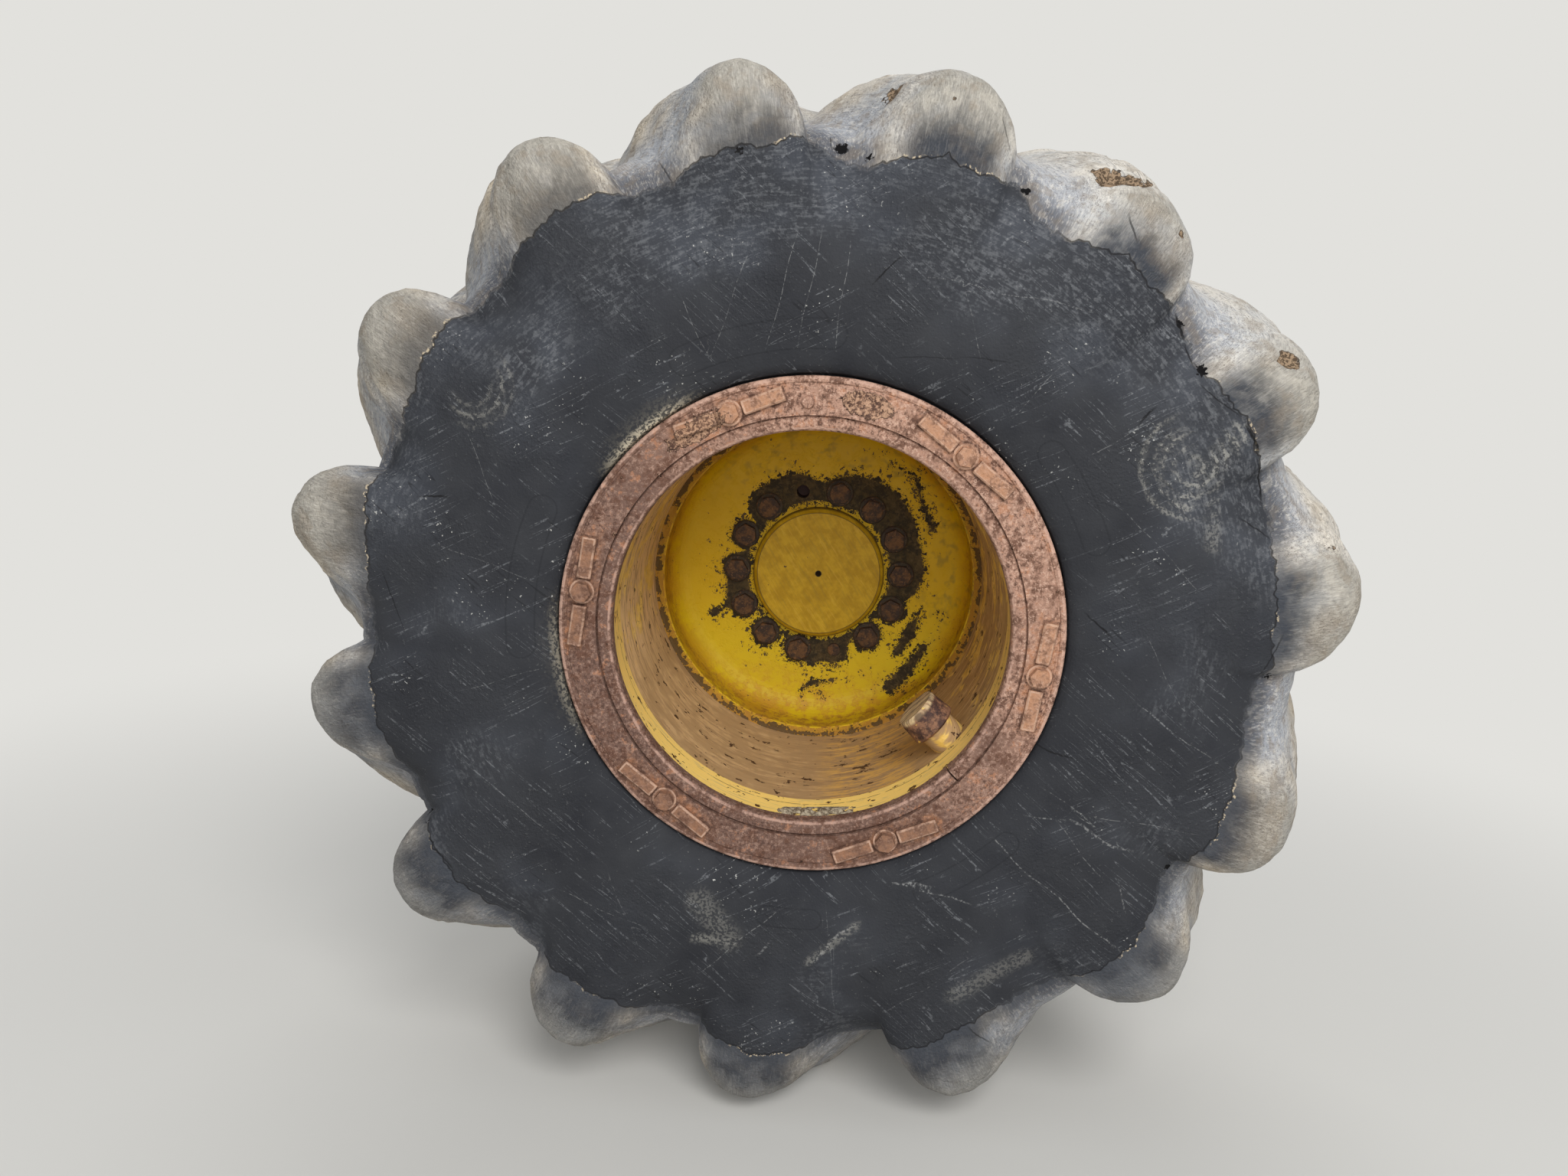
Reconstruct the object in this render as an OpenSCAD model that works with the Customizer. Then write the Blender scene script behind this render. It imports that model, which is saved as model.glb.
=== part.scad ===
// Drive wheel of a log skidder, with the end of the axle that carries it.
// The wheel spins about Y. Its open, deeply dished face looks toward -Y, and Z is up.
// The origin is the middle of the axle housing's mounting face.
// Places along the axle are given as an inset: the distance from the side ring's
// outer face toward the mounting face. Clock angles start at the top and run
// clockwise as the open face is seen.

/* [Tyre] */
// Radius over the lugs at the centre line
tyre_r = 944; // [930:2:960]
// Height of a lug above the tread at the centre line
lug_h = 69; // [60:1:80]
// Width of the tyre at its widest place
section_w = 776; // [756:2:800]
// Number of lugs on each side of the tread
lug_count = 15; // [13:1:17]
// Turn of a lug from its shoulder end to its nose, in degrees
lug_sweep = 13; // [8:1:15]
// Clock angle of the first lug's shoulder end, in degrees
lug_clock = 14; // [0:1:24]
// Thickness of tread and casing under the lugs
casing_t = 54; // [40:1:65]
// Width of the foot of each bead on its seat
bead_w = 70; // [55:1:80]

/* [Rim] */
// Width between the two bead flanges
rim_w = 686; // [660:2:700]
// Radius of the bead seats
bead_r = 406; // [396:1:416]
// Height of the bead flanges above the seats
flange_h = 29; // [25:1:33]
// Thickness of the bead flanges
flange_t = 23; // [20:1:26]
// Thickness of the rim's rolled bands
band_t = 12; // [9:1:14]
// How far the bore of the gutter band lies inside the bead seats
gutter_drop = 54; // [50:1:58]
// Inset of the seam between the gutter band and the centre band
gutter_end = 133; // [115:1:145]
// Step in the bore at that seam
seam_step = 4; // [3:0.5:6]
// Taper of the centre band's bore from that seam to the disc's seam
band_taper = 12; // [6:1:16]

/* [Side ring] */
// Height of the lock ring's joint above the gutter band
lock_seat = 6; // [4:1:9]
// How far the lock ring's round lip stands inside the gutter band
lip_stand = 8; // [4:1:12]
// Inset of the lock ring's front
lock_inset = 6; // [3:1:9]
// How far the circle of clamp bolts lies inside the bead seats
clamp_drop = 9; // [6:1:12]
// Number of clamp bolts, each between two bars
clamp_count = 6; // [4:1:8]
// Clock angle of the first clamp bolt, in degrees
clamp_clock = 36.8; // [30:0.1:45]
// Length of a clamp bar
bar_l = 72; // [50:1:80]
// Width of a clamp bar
bar_w = 25; // [18:1:28]
// Height of a clamp bar above the ring's face
bar_h = 9; // [6:1:12]
// Clear distance between the two bars of a pair
bar_gap = 48; // [46:1:56]

/* [Disc] */
// Distance from the disc's flat face to the inner bead flange
disc_back = 129; // [115:1:140]
// Thickness of the disc
disc_t = 18; // [14:1:22]
// Depth of the disc from its seam to its flat face
dish_depth = 92; // [80:1:100]
// Radius of the curve between the disc's flat face and its skirt
dish_corner = 44; // [36:1:50]
// Number of wheel bolt holes
bolt_holes = 14; // [12:1:16]
// Clock angle of the first wheel bolt, in degrees
bolt_clock = 11.3; // [5:0.1:20]
// Diameter of a wheel bolt's shank
bolt_d = 27; // [24:1:30]
// Width of a wheel bolt's head across its flats
bolt_af = 41; // [36:1:44]
// Outer diameter of a wheel bolt's washer
washer_d = 60; // [54:1:64]
// Clear distance from the centre boss to the washers
washer_gap = 6.5; // [4:0.5:9]

/* [Valve] */
// Clock angle of the valve's guard, in degrees
valve_clock = 130; // [120:1:140]
// Distance from the gutter band's seam to the valve's guard
valve_gap = 5; // [4:1:30]
// Diameter of the welded base
valve_base_d = 72; // [60:1:76]
// Height of the welded base above the band
valve_base_h = 38; // [30:1:50]
// Diameter of the screwed cap
valve_cap_d = 92; // [80:1:96]
// Height of the screwed cap
valve_cap_h = 52; // [40:1:60]

/* [Axle] */
// Length of the axle housing from its outer end to its mounting face
housing_l = 478; // [430:2:560]
// Radius of the centre boss that stands through the disc
boss_r = 142; // [134:1:150]
// Height of the centre boss above the disc
boss_h = 28; // [20:1:32]
// Width of the hub's drive flange outside the wheel bolt circle
drive_rim = 35.5; // [32:0.5:42]
// Thickness of the hub's drive flange
drive_t = 34; // [28:1:40]
// Radius of the journal that runs in the retainer
journal_r = 100; // [92:1:106]
// Radius of the shaft inside the housing
shaft_r = 58; // [50:1:64]
// Radius of the housing's tube
tube_r = 112; // [105:1:120]
// Width of the housing's outer end around the journal
nose_rim = 68; // [62:1:76]
// Thickness of the mounting flange
mount_t = 30; // [24:1:40]
// Diameter of the mounting bolt circle
mount_pcd = 430; // [420:1:450]
// Width of the mounting flange outside its bolt circle
mount_rim = 35; // [28:1:45]
// Number of mounting bolt holes
mount_holes = 16; // [12:1:18]
// Diameter of a mounting bolt hole
mount_hole_d = 22; // [18:1:24]

/* [Hidden] */

$fn = 96;

// Colours
RUBBER = [0.16, 0.16, 0.17];
RUST = [0.42, 0.27, 0.21];
YELLOW = [0.78, 0.62, 0.12];
IRON = [0.2, 0.17, 0.15];
BLACK = [0.12, 0.12, 0.12];

// Clearance between curved faces that seat on each other
seat_gap = 0.2;
// Clearance between the faceted tyre and the rim
bead_gap = 0.8;
// Radial clearance of the journal in its retainer
running_gap = 0.06;
// Chamfer of a machined edge
edge = 3;

// Radii of the rim and the side ring
flange_r = bead_r + flange_h;
clamp_r = bead_r - clamp_drop;
gutter_r = bead_r - gutter_drop;
lock_r = gutter_r + band_t + lock_seat;
lip_r = gutter_r - lip_stand;
band_front_r = gutter_r + seam_step;
band_back_r = band_front_r - band_taper;
skirt_r = band_back_r - seat_gap;

// Radii of the bolt circle and of the flanges behind it
bolt_circle_r = boss_r + washer_gap + washer_d / 2;
drive_r = bolt_circle_r + drive_rim;
nose_r = journal_r + nose_rim;
mount_r = mount_pcd / 2 + mount_rim;

// Insets along the axle
lock_depth = 27;
seam_lead = 20;
weld_l = 11;
retainer_gap = 14;
retainer_t = 26;
centre_inset = flange_t + rim_w / 2;
lock_back = lock_inset + lock_depth;
back_flange_inset = flange_t + rim_w;
back_face = back_flange_inset + flange_t;
disc_inset = back_flange_inset - disc_back;
skirt_inset = disc_inset - dish_depth;
weld_inset = skirt_inset - weld_l;
band_end = disc_inset - seam_lead;
valve_inset = gutter_end + valve_gap + valve_base_d / 2;
drive_inset = disc_inset + disc_t;
drive_back = drive_inset + drive_t;
retainer_inset = drive_back + retainer_gap;
nose_inset = retainer_inset + retainer_t;
face_to_mount = nose_inset + housing_l;

// Profiles are drawn as [radius, inset]. A turned piece is one of them spun about the axle.
module on_axle(inset = 0) {
    translate([0, inset - face_to_mount, 0]) rotate([-90, 0, 0]) children();
}

module turned(profile) {
    on_axle() rotate_extrude() polygon(profile);
}

// Copies round the axle at a radius and an inset, with local Z inboard and X outward
module ring_of(count, radius, clock, inset, chosen = undef) {
    list = is_undef(chosen) ? [for (i = [0 : count - 1]) i] : chosen;
    for (i = list)
        on_axle(inset) rotate([0, 0, clock - 90 + i * 360 / count]) translate([radius, 0, 0]) children();
}

// Points of an arc about [cr, ci], from angle a0 to a1
function arc(cr, ci, r, a0, a1, steps) =
    [for (i = [0 : steps]) let (a = a0 + (a1 - a0) * i / steps) [cr + r * cos(a), ci + r * sin(a)]];

// Inner radius of the rim's centre band at an inset
function band_r(inset) = band_front_r
    - band_taper * min(1, (inset - gutter_end) / (weld_inset - gutter_end));

// Tyre. Its outline is a row of stations from the foot of the bead to the centre line.
// The mesh has its columns on the crests, flanks and valleys of the lugs: they gather
// on the lugs and turn with them from station to station.
tread_r = tyre_r - lug_h;
half_w = section_w / 2;
half_rim = rim_w / 2;
seat_r = bead_r + bead_gap;
flange_top = flange_r + edge;

// Radii at a share of the sidewall's height and of a lug's height
function wall(share) = flange_r + share * (tread_r - flange_r);
function lug(share) = tread_r + share * lug_h;

// Columns: place from the centre plane and radius in a valley, the same on a lug, half
// the width of a lug in half pitches, how far the columns gather on it, and its turn.
stations = [
    [half_rim - bead_w, seat_r, half_rim - bead_w, seat_r, 0, 0, 0],
    [half_rim - bead_gap, seat_r, half_rim - bead_gap, seat_r, 0, 0, 0],
    [half_rim - bead_gap, flange_top, half_rim - bead_gap, flange_top, 0, 0, 0],
    [0.943 * half_w, wall(0.025), 0.943 * half_w, wall(0.025), 0, 0, 0],
    [0.995 * half_w, wall(0.325), 0.995 * half_w, wall(0.325), 0, 0.3, 0],
    [0.964 * half_w, wall(0.63), half_w, wall(0.71), 0.54, 0.9, 0.04],
    [0.887 * half_w, wall(0.765), 0.985 * half_w, wall(0.945), 0.55, 1, 0.03],
    [0.747 * half_w, lug(-0.87), 0.905 * half_w, lug(0.68), 0.53, 1, 0],
    [0.58 * half_w, lug(-0.52), 0.7 * half_w, lug(0.93), 0.5, 1, -0.2],
    [0.36 * half_w, lug(-0.25), 0.4 * half_w, lug(1), 0.44, 1, -0.55],
    [0.13 * half_w, lug(-0.04), 0.13 * half_w, lug(1), 0.34, 1, -0.86],
    [0.04 * half_w, lug(0), 0.04 * half_w, lug(0.97), 0.26, 0.9, -0.94]
];

// The casing's inner wall: place from the centre plane and radius
inner_wall = [
    [0.92 * half_w, wall(0.36)],
    [0.61 * half_w, tread_r - 1.45 * casing_t],
    [-0.61 * half_w, tread_r - 1.45 * casing_t],
    [-0.92 * half_w, wall(0.36)]
];

// Columns of one pitch in half pitches from an outer lug's crest: on the outer side,
// then on the inner side, whose lugs lie half a pitch on
columns = [
    [-0.66, -0.74],
    [-0.32, -0.52],
    [0, -0.38],
    [0.28, 0],
    [0.48, 0.34],
    [0.62, 0.68],
    [1, 1]
];
columns_each = len(columns);
half_pitch = 180 / lug_count;
column_count = lug_count * columns_each;

function column_place(k, side, gather) =
    let (even = -0.8 + 2 * k / columns_each)
    even + gather * (columns[k][side] - even);

// A lug's cross-section, one at its crest: a round back and a steep flank clockwise of
// it, a long gentle flank on the other side
steep_run = 0.06;
gentle_run = 0.42;
lug_back = 0.6;
function nearest(place) = place - 2 * round(place / 2);
function lug_share(place, half_width) =
    let (off = nearest(place),
        part = min(1, abs(off) / (half_width + (off > 0 ? steep_run : gentle_run))))
    half_width == 0 ? 0
    : off > 0 ? pow(1 - part * part, lug_back)
    : cos(90 * part);

function tyre_point(clock, place, radius) = [
    radius * sin(clock), centre_inset - face_to_mount + place, radius * cos(clock)
];

function half_outline(column, side) =
    let (pitch = floor(column / columns_each), k = column % columns_each)
    [for (s = stations)
        let (u = column_place(k, side, s[5]),
            m = lug_share(u - side, s[4]),
            place = s[0] + m * (s[2] - s[0]))
        tyre_point(lug_clock + (2 * pitch + u) * half_pitch + lug_sweep * s[6],
            side == 0 ? -place : place, s[1] + m * (s[3] - s[1]))];

function reversed(list) = [for (i = [len(list) - 1 : -1 : 0]) list[i]];

function outline(column) =
    let (clock = lug_clock + (2 * floor(column / columns_each)
        + column_place(column % columns_each, 0, 0)) * half_pitch)
    concat(half_outline(column, 0), reversed(half_outline(column, 1)),
        [for (p = inner_wall) tyre_point(clock, p[0], p[1])]);

module tyre() {
    rows = [for (j = [0 : column_count - 1]) outline(j)];
    n = len(rows[0]);
    centre = len(stations);
    points = [for (row = rows) for (p = row) p];
    faces = [for (j = [0 : column_count - 1]) for (i = [0 : n - 1])
        let (jn = (j + 1) % column_count,
            im = (i + 1) % n,
            a = j * n + i,
            b = j * n + im,
            c = jn * n + im,
            d = jn * n + i)
        each i < centre ? [[a, b, c], [a, c, d]] : [[a, b, d], [b, c, d]]];
    color(RUBBER) polyhedron(points = points, faces = faces, convexity = 12);
}

// Side ring: the outer flange with the seat of the outer bead, one casting
seat_l = 62;
seat_taper = 3;
ring_edge = 5;
ring_round = 7;
groove_depth = 2;
groove_r = flange_r - 12;
clamp_hole_r = 8;
clamp_depth = 18;
module side_ring() {
    bore_r = lock_r + seat_gap;
    inner_r = gutter_r + band_t + seat_gap;
    color(RUST) difference() {
        turned(concat(
            [[bore_r, 0], [groove_r - 2 * groove_depth, 0], [groove_r - groove_depth, groove_depth],
             [groove_r, groove_depth], [groove_r + groove_depth, 0]],
            arc(flange_r - ring_edge, ring_edge, ring_edge, -90, 0, 3),
            arc(flange_r - ring_round, flange_t - ring_round, ring_round, 0, 60, 2),
            [[bead_r, flange_t], [bead_r - seat_taper, flange_t + seat_l],
             [inner_r, flange_t + seat_l], [inner_r, lock_back], [bore_r, lock_back]]));
        ring_of(clamp_count, clamp_r, clamp_clock, -1)
            cylinder(r = clamp_hole_r + seat_gap, h = clamp_depth + 2);
    }
}

// Two raised bars beside each clamp bolt, along the ring
module clamp_bars() {
    color(RUST)
        ring_of(clamp_count, clamp_r, clamp_clock, -bar_h)
            for (start = [bar_gap / 2, -bar_gap / 2 - bar_l])
                translate([-bar_w / 2, start, 0]) bar();
}

module bar() {
    translate([0, bar_l, 0]) rotate([90, 0, 0]) linear_extrude(bar_l)
        polygon([[0, bar_h], [0, edge], [edge, 0], [bar_w - edge, 0], [bar_w, edge], [bar_w, bar_h]]);
}

// A hexagon bolt whose head stands toward -Z on z = 0 and whose shank runs toward +Z
module hex_bolt(af, head_h, shank_r, shank_l) {
    translate([0, 0, -head_h]) cylinder(d = af / cos(30), h = head_h, $fn = 6);
    cylinder(r = shank_r, h = shank_l);
}

clamp_washer_r = 22;
clamp_washer_t = 3;
clamp_af = 30;
clamp_head_h = 13;
module clamp_bolts() {
    color(RUST) ring_of(clamp_count, clamp_r, clamp_clock, -clamp_washer_t) {
        cylinder(r = clamp_washer_r, h = clamp_washer_t);
        hex_bolt(clamp_af, clamp_head_h, clamp_hole_r, clamp_washer_t + clamp_depth);
    }
}

// One small plug beside the clamp bolts, near the top
ring_plug_clock = 356;
ring_plug_r = 12;
ring_plug_h = 6;
module ring_plug() {
    color(RUST) ring_of(1, clamp_r - ring_plug_h, ring_plug_clock, -ring_plug_h)
        cylinder(r1 = ring_plug_r - edge, r2 = ring_plug_r, h = ring_plug_h);
}

// Split ring with a round lip that locks the side ring on the gutter band
lock_split = 3.2;
lock_split_clock = 132;
lip_round = 11;
module lock_ring() {
    cut = 2 * lock_depth;
    color(RUST) difference() {
        turned(concat(
            [[lock_r, lock_inset + edge], [lock_r, lock_back], [lip_r, lock_back]],
            arc(lip_r + lip_round, lock_inset + lip_round, lip_round, 180, 270, 4),
            [[lock_r - edge, lock_inset]]));
        ring_of(1, lip_r + cut / 3, lock_split_clock, lock_inset)
            cube([cut, lock_split, 2 * cut], center = true);
    }
}

// Rim: three rolled bands welded face to face
seam_edge = 2;
module gutter_band() {
    color(YELLOW) turned([
        [gutter_r, lock_back], [gutter_r + band_t, lock_back], [gutter_r + band_t, gutter_end],
        [gutter_r + seam_edge, gutter_end], [gutter_r, gutter_end - seam_edge]]);
}

module centre_band() {
    color(YELLOW) turned([
        [band_front_r + seam_edge, gutter_end], [band_front_r + band_t, gutter_end],
        [band_back_r + band_t, weld_inset], [band_back_r + band_t, band_end],
        [band_back_r, band_end], [band_back_r, weld_inset], [band_front_r, gutter_end + seam_edge]]);
}

// The back section flares from the band to the inner bead seat and its flange
flare_lead = 30;
module back_section() {
    flare_start = band_end + flare_lead;
    flare_end = back_flange_inset - seat_l;
    seat_in_r = bead_r - seat_taper - band_t;
    color(YELLOW) turned(concat(
        [[band_back_r, band_end], [band_back_r + band_t, band_end], [band_back_r + band_t, flare_start],
         [bead_r - seat_taper, flare_end], [bead_r, back_flange_inset]],
        arc(flange_r - ring_round, back_flange_inset + ring_round, ring_round, -60, 0, 2),
        arc(flange_r - ring_edge, back_face - ring_edge, ring_edge, 0, 90, 3),
        [[bead_r, back_face], [seat_in_r, back_face - band_t], [seat_in_r, flare_end + band_t / 2],
         [band_back_r, flare_start + band_t / 2]]));
}

// Dished disc: a skirt that fits in the band, a round corner and a flat, drilled centre
bolt_play = 1;
module wheel_disc() {
    flat_r = skirt_r - disc_t - dish_corner;
    color(YELLOW) difference() {
        turned(concat(
            [[skirt_r - disc_t, skirt_inset], [skirt_r, skirt_inset]],
            arc(flat_r, disc_inset - dish_corner, dish_corner + disc_t, 0, 90, 8),
            [[boss_r + seat_gap, disc_inset + disc_t], [boss_r + seat_gap, disc_inset]],
            arc(flat_r, disc_inset - dish_corner, dish_corner, 90, 0, 8)));
        ring_of(bolt_holes, bolt_circle_r, bolt_clock, disc_inset - 1)
            cylinder(d = bolt_d + bolt_play, h = disc_t + 2);
    }
}

// Weld between the centre band and the disc's skirt
module disc_weld() {
    color(YELLOW) turned([
        [skirt_r - disc_t + edge, skirt_inset], [skirt_r - 2 * edge, weld_inset + edge],
        [skirt_r, weld_inset], [skirt_r, skirt_inset]]);
}

// Wheel bolts: one hole is empty and one bolt has lost its head
washer_t = 5;
bolt_head_h = 16;
hole_floor = 6;
bolt_end = disc_t + drive_t - hole_floor - bolt_play;
broken_hole = 6;
empty_hole = 13;
bolted_holes = [for (i = [0 : bolt_holes - 1]) if (i != broken_hole && i != empty_hole) i];

module wheel_washers() {
    color(IRON) ring_of(bolt_holes, bolt_circle_r, bolt_clock, disc_inset - washer_t, bolted_holes)
        difference() {
            union() {
                cylinder(d1 = washer_d - washer_t, d2 = washer_d, h = washer_t / 2);
                translate([0, 0, washer_t / 2]) cylinder(d = washer_d, h = washer_t / 2);
            }
            translate([0, 0, -1]) cylinder(d = bolt_d + bolt_play, h = washer_t + 2);
        }
}

module wheel_bolts() {
    wide = bolt_af * 1.3;
    color(IRON) ring_of(bolt_holes, bolt_circle_r, bolt_clock, disc_inset - washer_t, bolted_holes)
        intersection() {
            hex_bolt(bolt_af, bolt_head_h, bolt_d / 2, washer_t + bolt_end);
            translate([0, 0, -bolt_head_h]) union() {
                cylinder(d1 = bolt_af, d2 = wide, h = edge);
                translate([0, 0, edge]) cylinder(d = wide, h = bolt_head_h + washer_t + bolt_end);
            }
        }
}

stub_h = 5;
module broken_bolt() {
    color(IRON) ring_of(bolt_holes, bolt_circle_r, bolt_clock, disc_inset, [broken_hole])
        difference() {
            translate([0, 0, -stub_h]) cylinder(d = bolt_d, h = stub_h + bolt_end);
            translate([0, 0, -stub_h - bolt_d / 2]) rotate([14, 0, 0])
                cube([2 * bolt_d, 2 * bolt_d, bolt_d - stub_h], center = true);
        }
}

// Guard of the tyre's valve: a base welded to the band and a screwed cap
cap_edge = 4;
cap_taper = 4;
module on_valve(radius) {
    on_axle(valve_inset) rotate([0, 0, valve_clock - 90]) translate([radius, 0, 0])
        rotate([0, -90, 0]) children();
}

module valve_base() {
    color(YELLOW) intersection() {
        on_valve(band_r(valve_inset) + band_t) cylinder(d = valve_base_d, h = valve_base_h + band_t);
        turned([
            [0, gutter_end], [band_front_r - seat_gap, gutter_end],
            [band_back_r - seat_gap, weld_inset], [0, weld_inset]]);
    }
}

module valve_cap() {
    end_d = valve_cap_d - 2 * cap_taper;
    color(IRON) on_valve(band_r(valve_inset) - valve_base_h) {
        cylinder(d1 = valve_cap_d - 2 * cap_edge, d2 = valve_cap_d, h = cap_edge);
        translate([0, 0, cap_edge])
            cylinder(d1 = valve_cap_d, d2 = end_d, h = valve_cap_h - 2 * cap_edge);
        translate([0, 0, valve_cap_h - cap_edge]) cylinder(d1 = end_d, d2 = end_d - cap_edge, h = cap_edge);
    }
}

// Hub: the boss through the disc, the drive flange and the journal, one forging
boss_edge = 9;
centre_mark = 7;
shaft_step = 4;
step_rim = 22;
journal_l = 50;
journal_end = nose_inset + journal_l;
module wheel_hub() {
    boss_face = disc_inset - boss_h;
    color(YELLOW) difference() {
        turned([
            [0, boss_face], [boss_r - boss_edge, boss_face], [boss_r, boss_face + boss_edge],
            [boss_r, drive_inset], [drive_r - edge, drive_inset], [drive_r, drive_inset + edge],
            [drive_r, drive_back - edge], [drive_r - edge, drive_back],
            [journal_r + step_rim, drive_back], [journal_r + 2 * edge, drive_back + shaft_step],
            [journal_r, drive_back + shaft_step], [journal_r, journal_end - edge],
            [journal_r - edge, journal_end], [0, journal_end]]);
        turned([[0, boss_face - 1], [centre_mark, boss_face - 1], [0, boss_face + centre_mark]]);
        ring_of(bolt_holes, bolt_circle_r, bolt_clock, drive_inset - 1)
            cylinder(d = bolt_d + 2 * seat_gap, h = drive_t - hole_floor + 1);
    }
}

// Axle shaft, from the hub to its splined end behind the mounting face
spline_l = 80;
spline_count = 20;
spline_h = 6;
spline_stand = 40;
spline_start = face_to_mount + spline_stand - spline_l;
module axle_shaft() {
    color(IRON) {
        turned([[0, journal_end], [shaft_r, journal_end], [shaft_r, spline_start], [0, spline_start]]);
        on_axle(spline_start - spline_h) linear_extrude(spline_l + spline_h) spline_outline();
    }
}

module spline_outline() {
    root_r = shaft_r - spline_h;
    tip_r = shaft_r - 1;
    tooth_w = PI * shaft_r / spline_count;
    circle(r = root_r);
    for (i = [0 : spline_count - 1])
        rotate(i * 360 / spline_count)
            polygon([
                [root_r - 2, -tooth_w * 0.6], [tip_r, -tooth_w * 0.4],
                [tip_r, tooth_w * 0.4], [root_r - 2, tooth_w * 0.6]]);
}

// Axle housing: a flanged tube with ribs, bolted to the frame of the machine
tube_wall = 22;
nose_t = 28;
nose_step = 16;
cone_l = 50;
neck_l = 46;
neck_rim = 14;
seal_room = 12;
cavity_l = 60;
cavity_taper = 30;
root_round = 40;
rib_count = 8;
rib_t = 16;
rib_reach = 150;
flange_inset = face_to_mount - mount_t;
neck_inset = nose_inset + nose_t + cone_l + neck_l;
module axle_housing() {
    cone_inset = nose_inset + nose_t + cone_l;
    color(BLACK) difference() {
        union() {
            turned(concat(
                [[journal_r + seal_room, nose_inset], [nose_r, nose_inset], [nose_r, nose_inset + nose_t],
                 [nose_r - nose_step, nose_inset + nose_t + 2 * edge],
                 [tube_r + neck_rim, cone_inset], [tube_r, neck_inset],
                 [tube_r, flange_inset - 1.5 * root_round]],
                arc(tube_r + root_round, flange_inset - root_round, root_round, 180, 90, 4),
                [[mount_r - edge, flange_inset], [mount_r, flange_inset + edge], [mount_r, face_to_mount],
                 [tube_r - tube_wall, face_to_mount],
                 [tube_r - tube_wall, nose_inset + cavity_l + cavity_taper],
                 [journal_r + seal_room, nose_inset + cavity_l]]));
            for (i = [0 : rib_count - 1])
                on_axle() rotate([0, 0, (i + 0.5) * 360 / rib_count]) rib();
        }
        ring_of(mount_holes, mount_pcd / 2, 0, flange_inset - 1)
            cylinder(d = mount_hole_d, h = mount_t + 2);
        ring_of(retainer_bolt_count, retainer_bolt_r, 0, nose_inset - 1)
            cylinder(r = retainer_shank_r + seat_gap, h = retainer_shank_l + 1);
        on_plug_seat(-plug_l) cylinder(r = plug_r + seat_gap, h = 3 * plug_l);
    }
}

module rib() {
    sunk = 4;
    top_r = mount_pcd / 2 - mount_hole_d;
    translate([0, rib_t / 2, 0]) rotate([90, 0, 0]) linear_extrude(rib_t)
        polygon([
            [tube_r - sunk, flange_inset - rib_reach], [tube_r, flange_inset - rib_reach],
            [top_r, flange_inset - 2 * sunk], [top_r, flange_inset + sunk],
            [tube_r - sunk, flange_inset + sunk]]);
}

// Retainer: the bolted ring that holds the bearing and its seal
retainer_bolt_count = 12;
retainer_bolt_r = journal_r + 46;
retainer_shank_r = 7;
retainer_shank_l = 30;
retainer_lip = 4;
lip_rim = 14;
module bearing_retainer() {
    color(BLACK) difference() {
        turned([
            [journal_r + running_gap, retainer_inset - retainer_lip],
            [journal_r + lip_rim, retainer_inset - retainer_lip],
            [journal_r + lip_rim + retainer_lip, retainer_inset], [nose_r - edge, retainer_inset],
            [nose_r, retainer_inset + edge], [nose_r, nose_inset],
            [journal_r + running_gap, nose_inset]]);
        ring_of(retainer_bolt_count, retainer_bolt_r, 0, retainer_inset - 1)
            cylinder(r = retainer_shank_r + seat_gap, h = retainer_t + 2);
    }
}

retainer_af = 22;
retainer_head_h = 9;
module retainer_bolts() {
    color(IRON) ring_of(retainer_bolt_count, retainer_bolt_r, 0, retainer_inset)
        hex_bolt(retainer_af, retainer_head_h, retainer_shank_r, retainer_t + retainer_shank_l - 2);
}

// Oil plug in the housing's tube, between the neck and the ribs
plug_r = 13;
plug_l = 9;
plug_collar_r = 19;
plug_collar_t = 4;
plug_af = 22;
plug_head_h = 10;
plug_clock = 135;
module on_plug_seat(lift) {
    on_axle((neck_inset + flange_inset - rib_reach) / 2) rotate([0, 0, plug_clock - 90])
        translate([tube_r + lift, 0, 0]) rotate([0, 90, 0]) children();
}

module housing_plug() {
    color(IRON) on_plug_seat(0) {
        translate([0, 0, -plug_l]) cylinder(r = plug_r, h = plug_l + plug_collar_t);
        cylinder(r = plug_collar_r, h = plug_collar_t);
        translate([0, 0, plug_collar_t]) cylinder(d = plug_af / cos(30), h = plug_head_h, $fn = 6);
    }
}

tyre();
side_ring();
clamp_bars();
clamp_bolts();
ring_plug();
lock_ring();
gutter_band();
centre_band();
back_section();
wheel_disc();
disc_weld();
wheel_washers();
wheel_bolts();
broken_bolt();
valve_base();
valve_cap();
wheel_hub();
axle_shaft();
axle_housing();
bearing_retainer();
retainer_bolts();
housing_plug();
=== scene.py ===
import math
from functools import partialmethod

import bpy
import numpy as np
from mathutils import Matrix, Vector, noise


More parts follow.
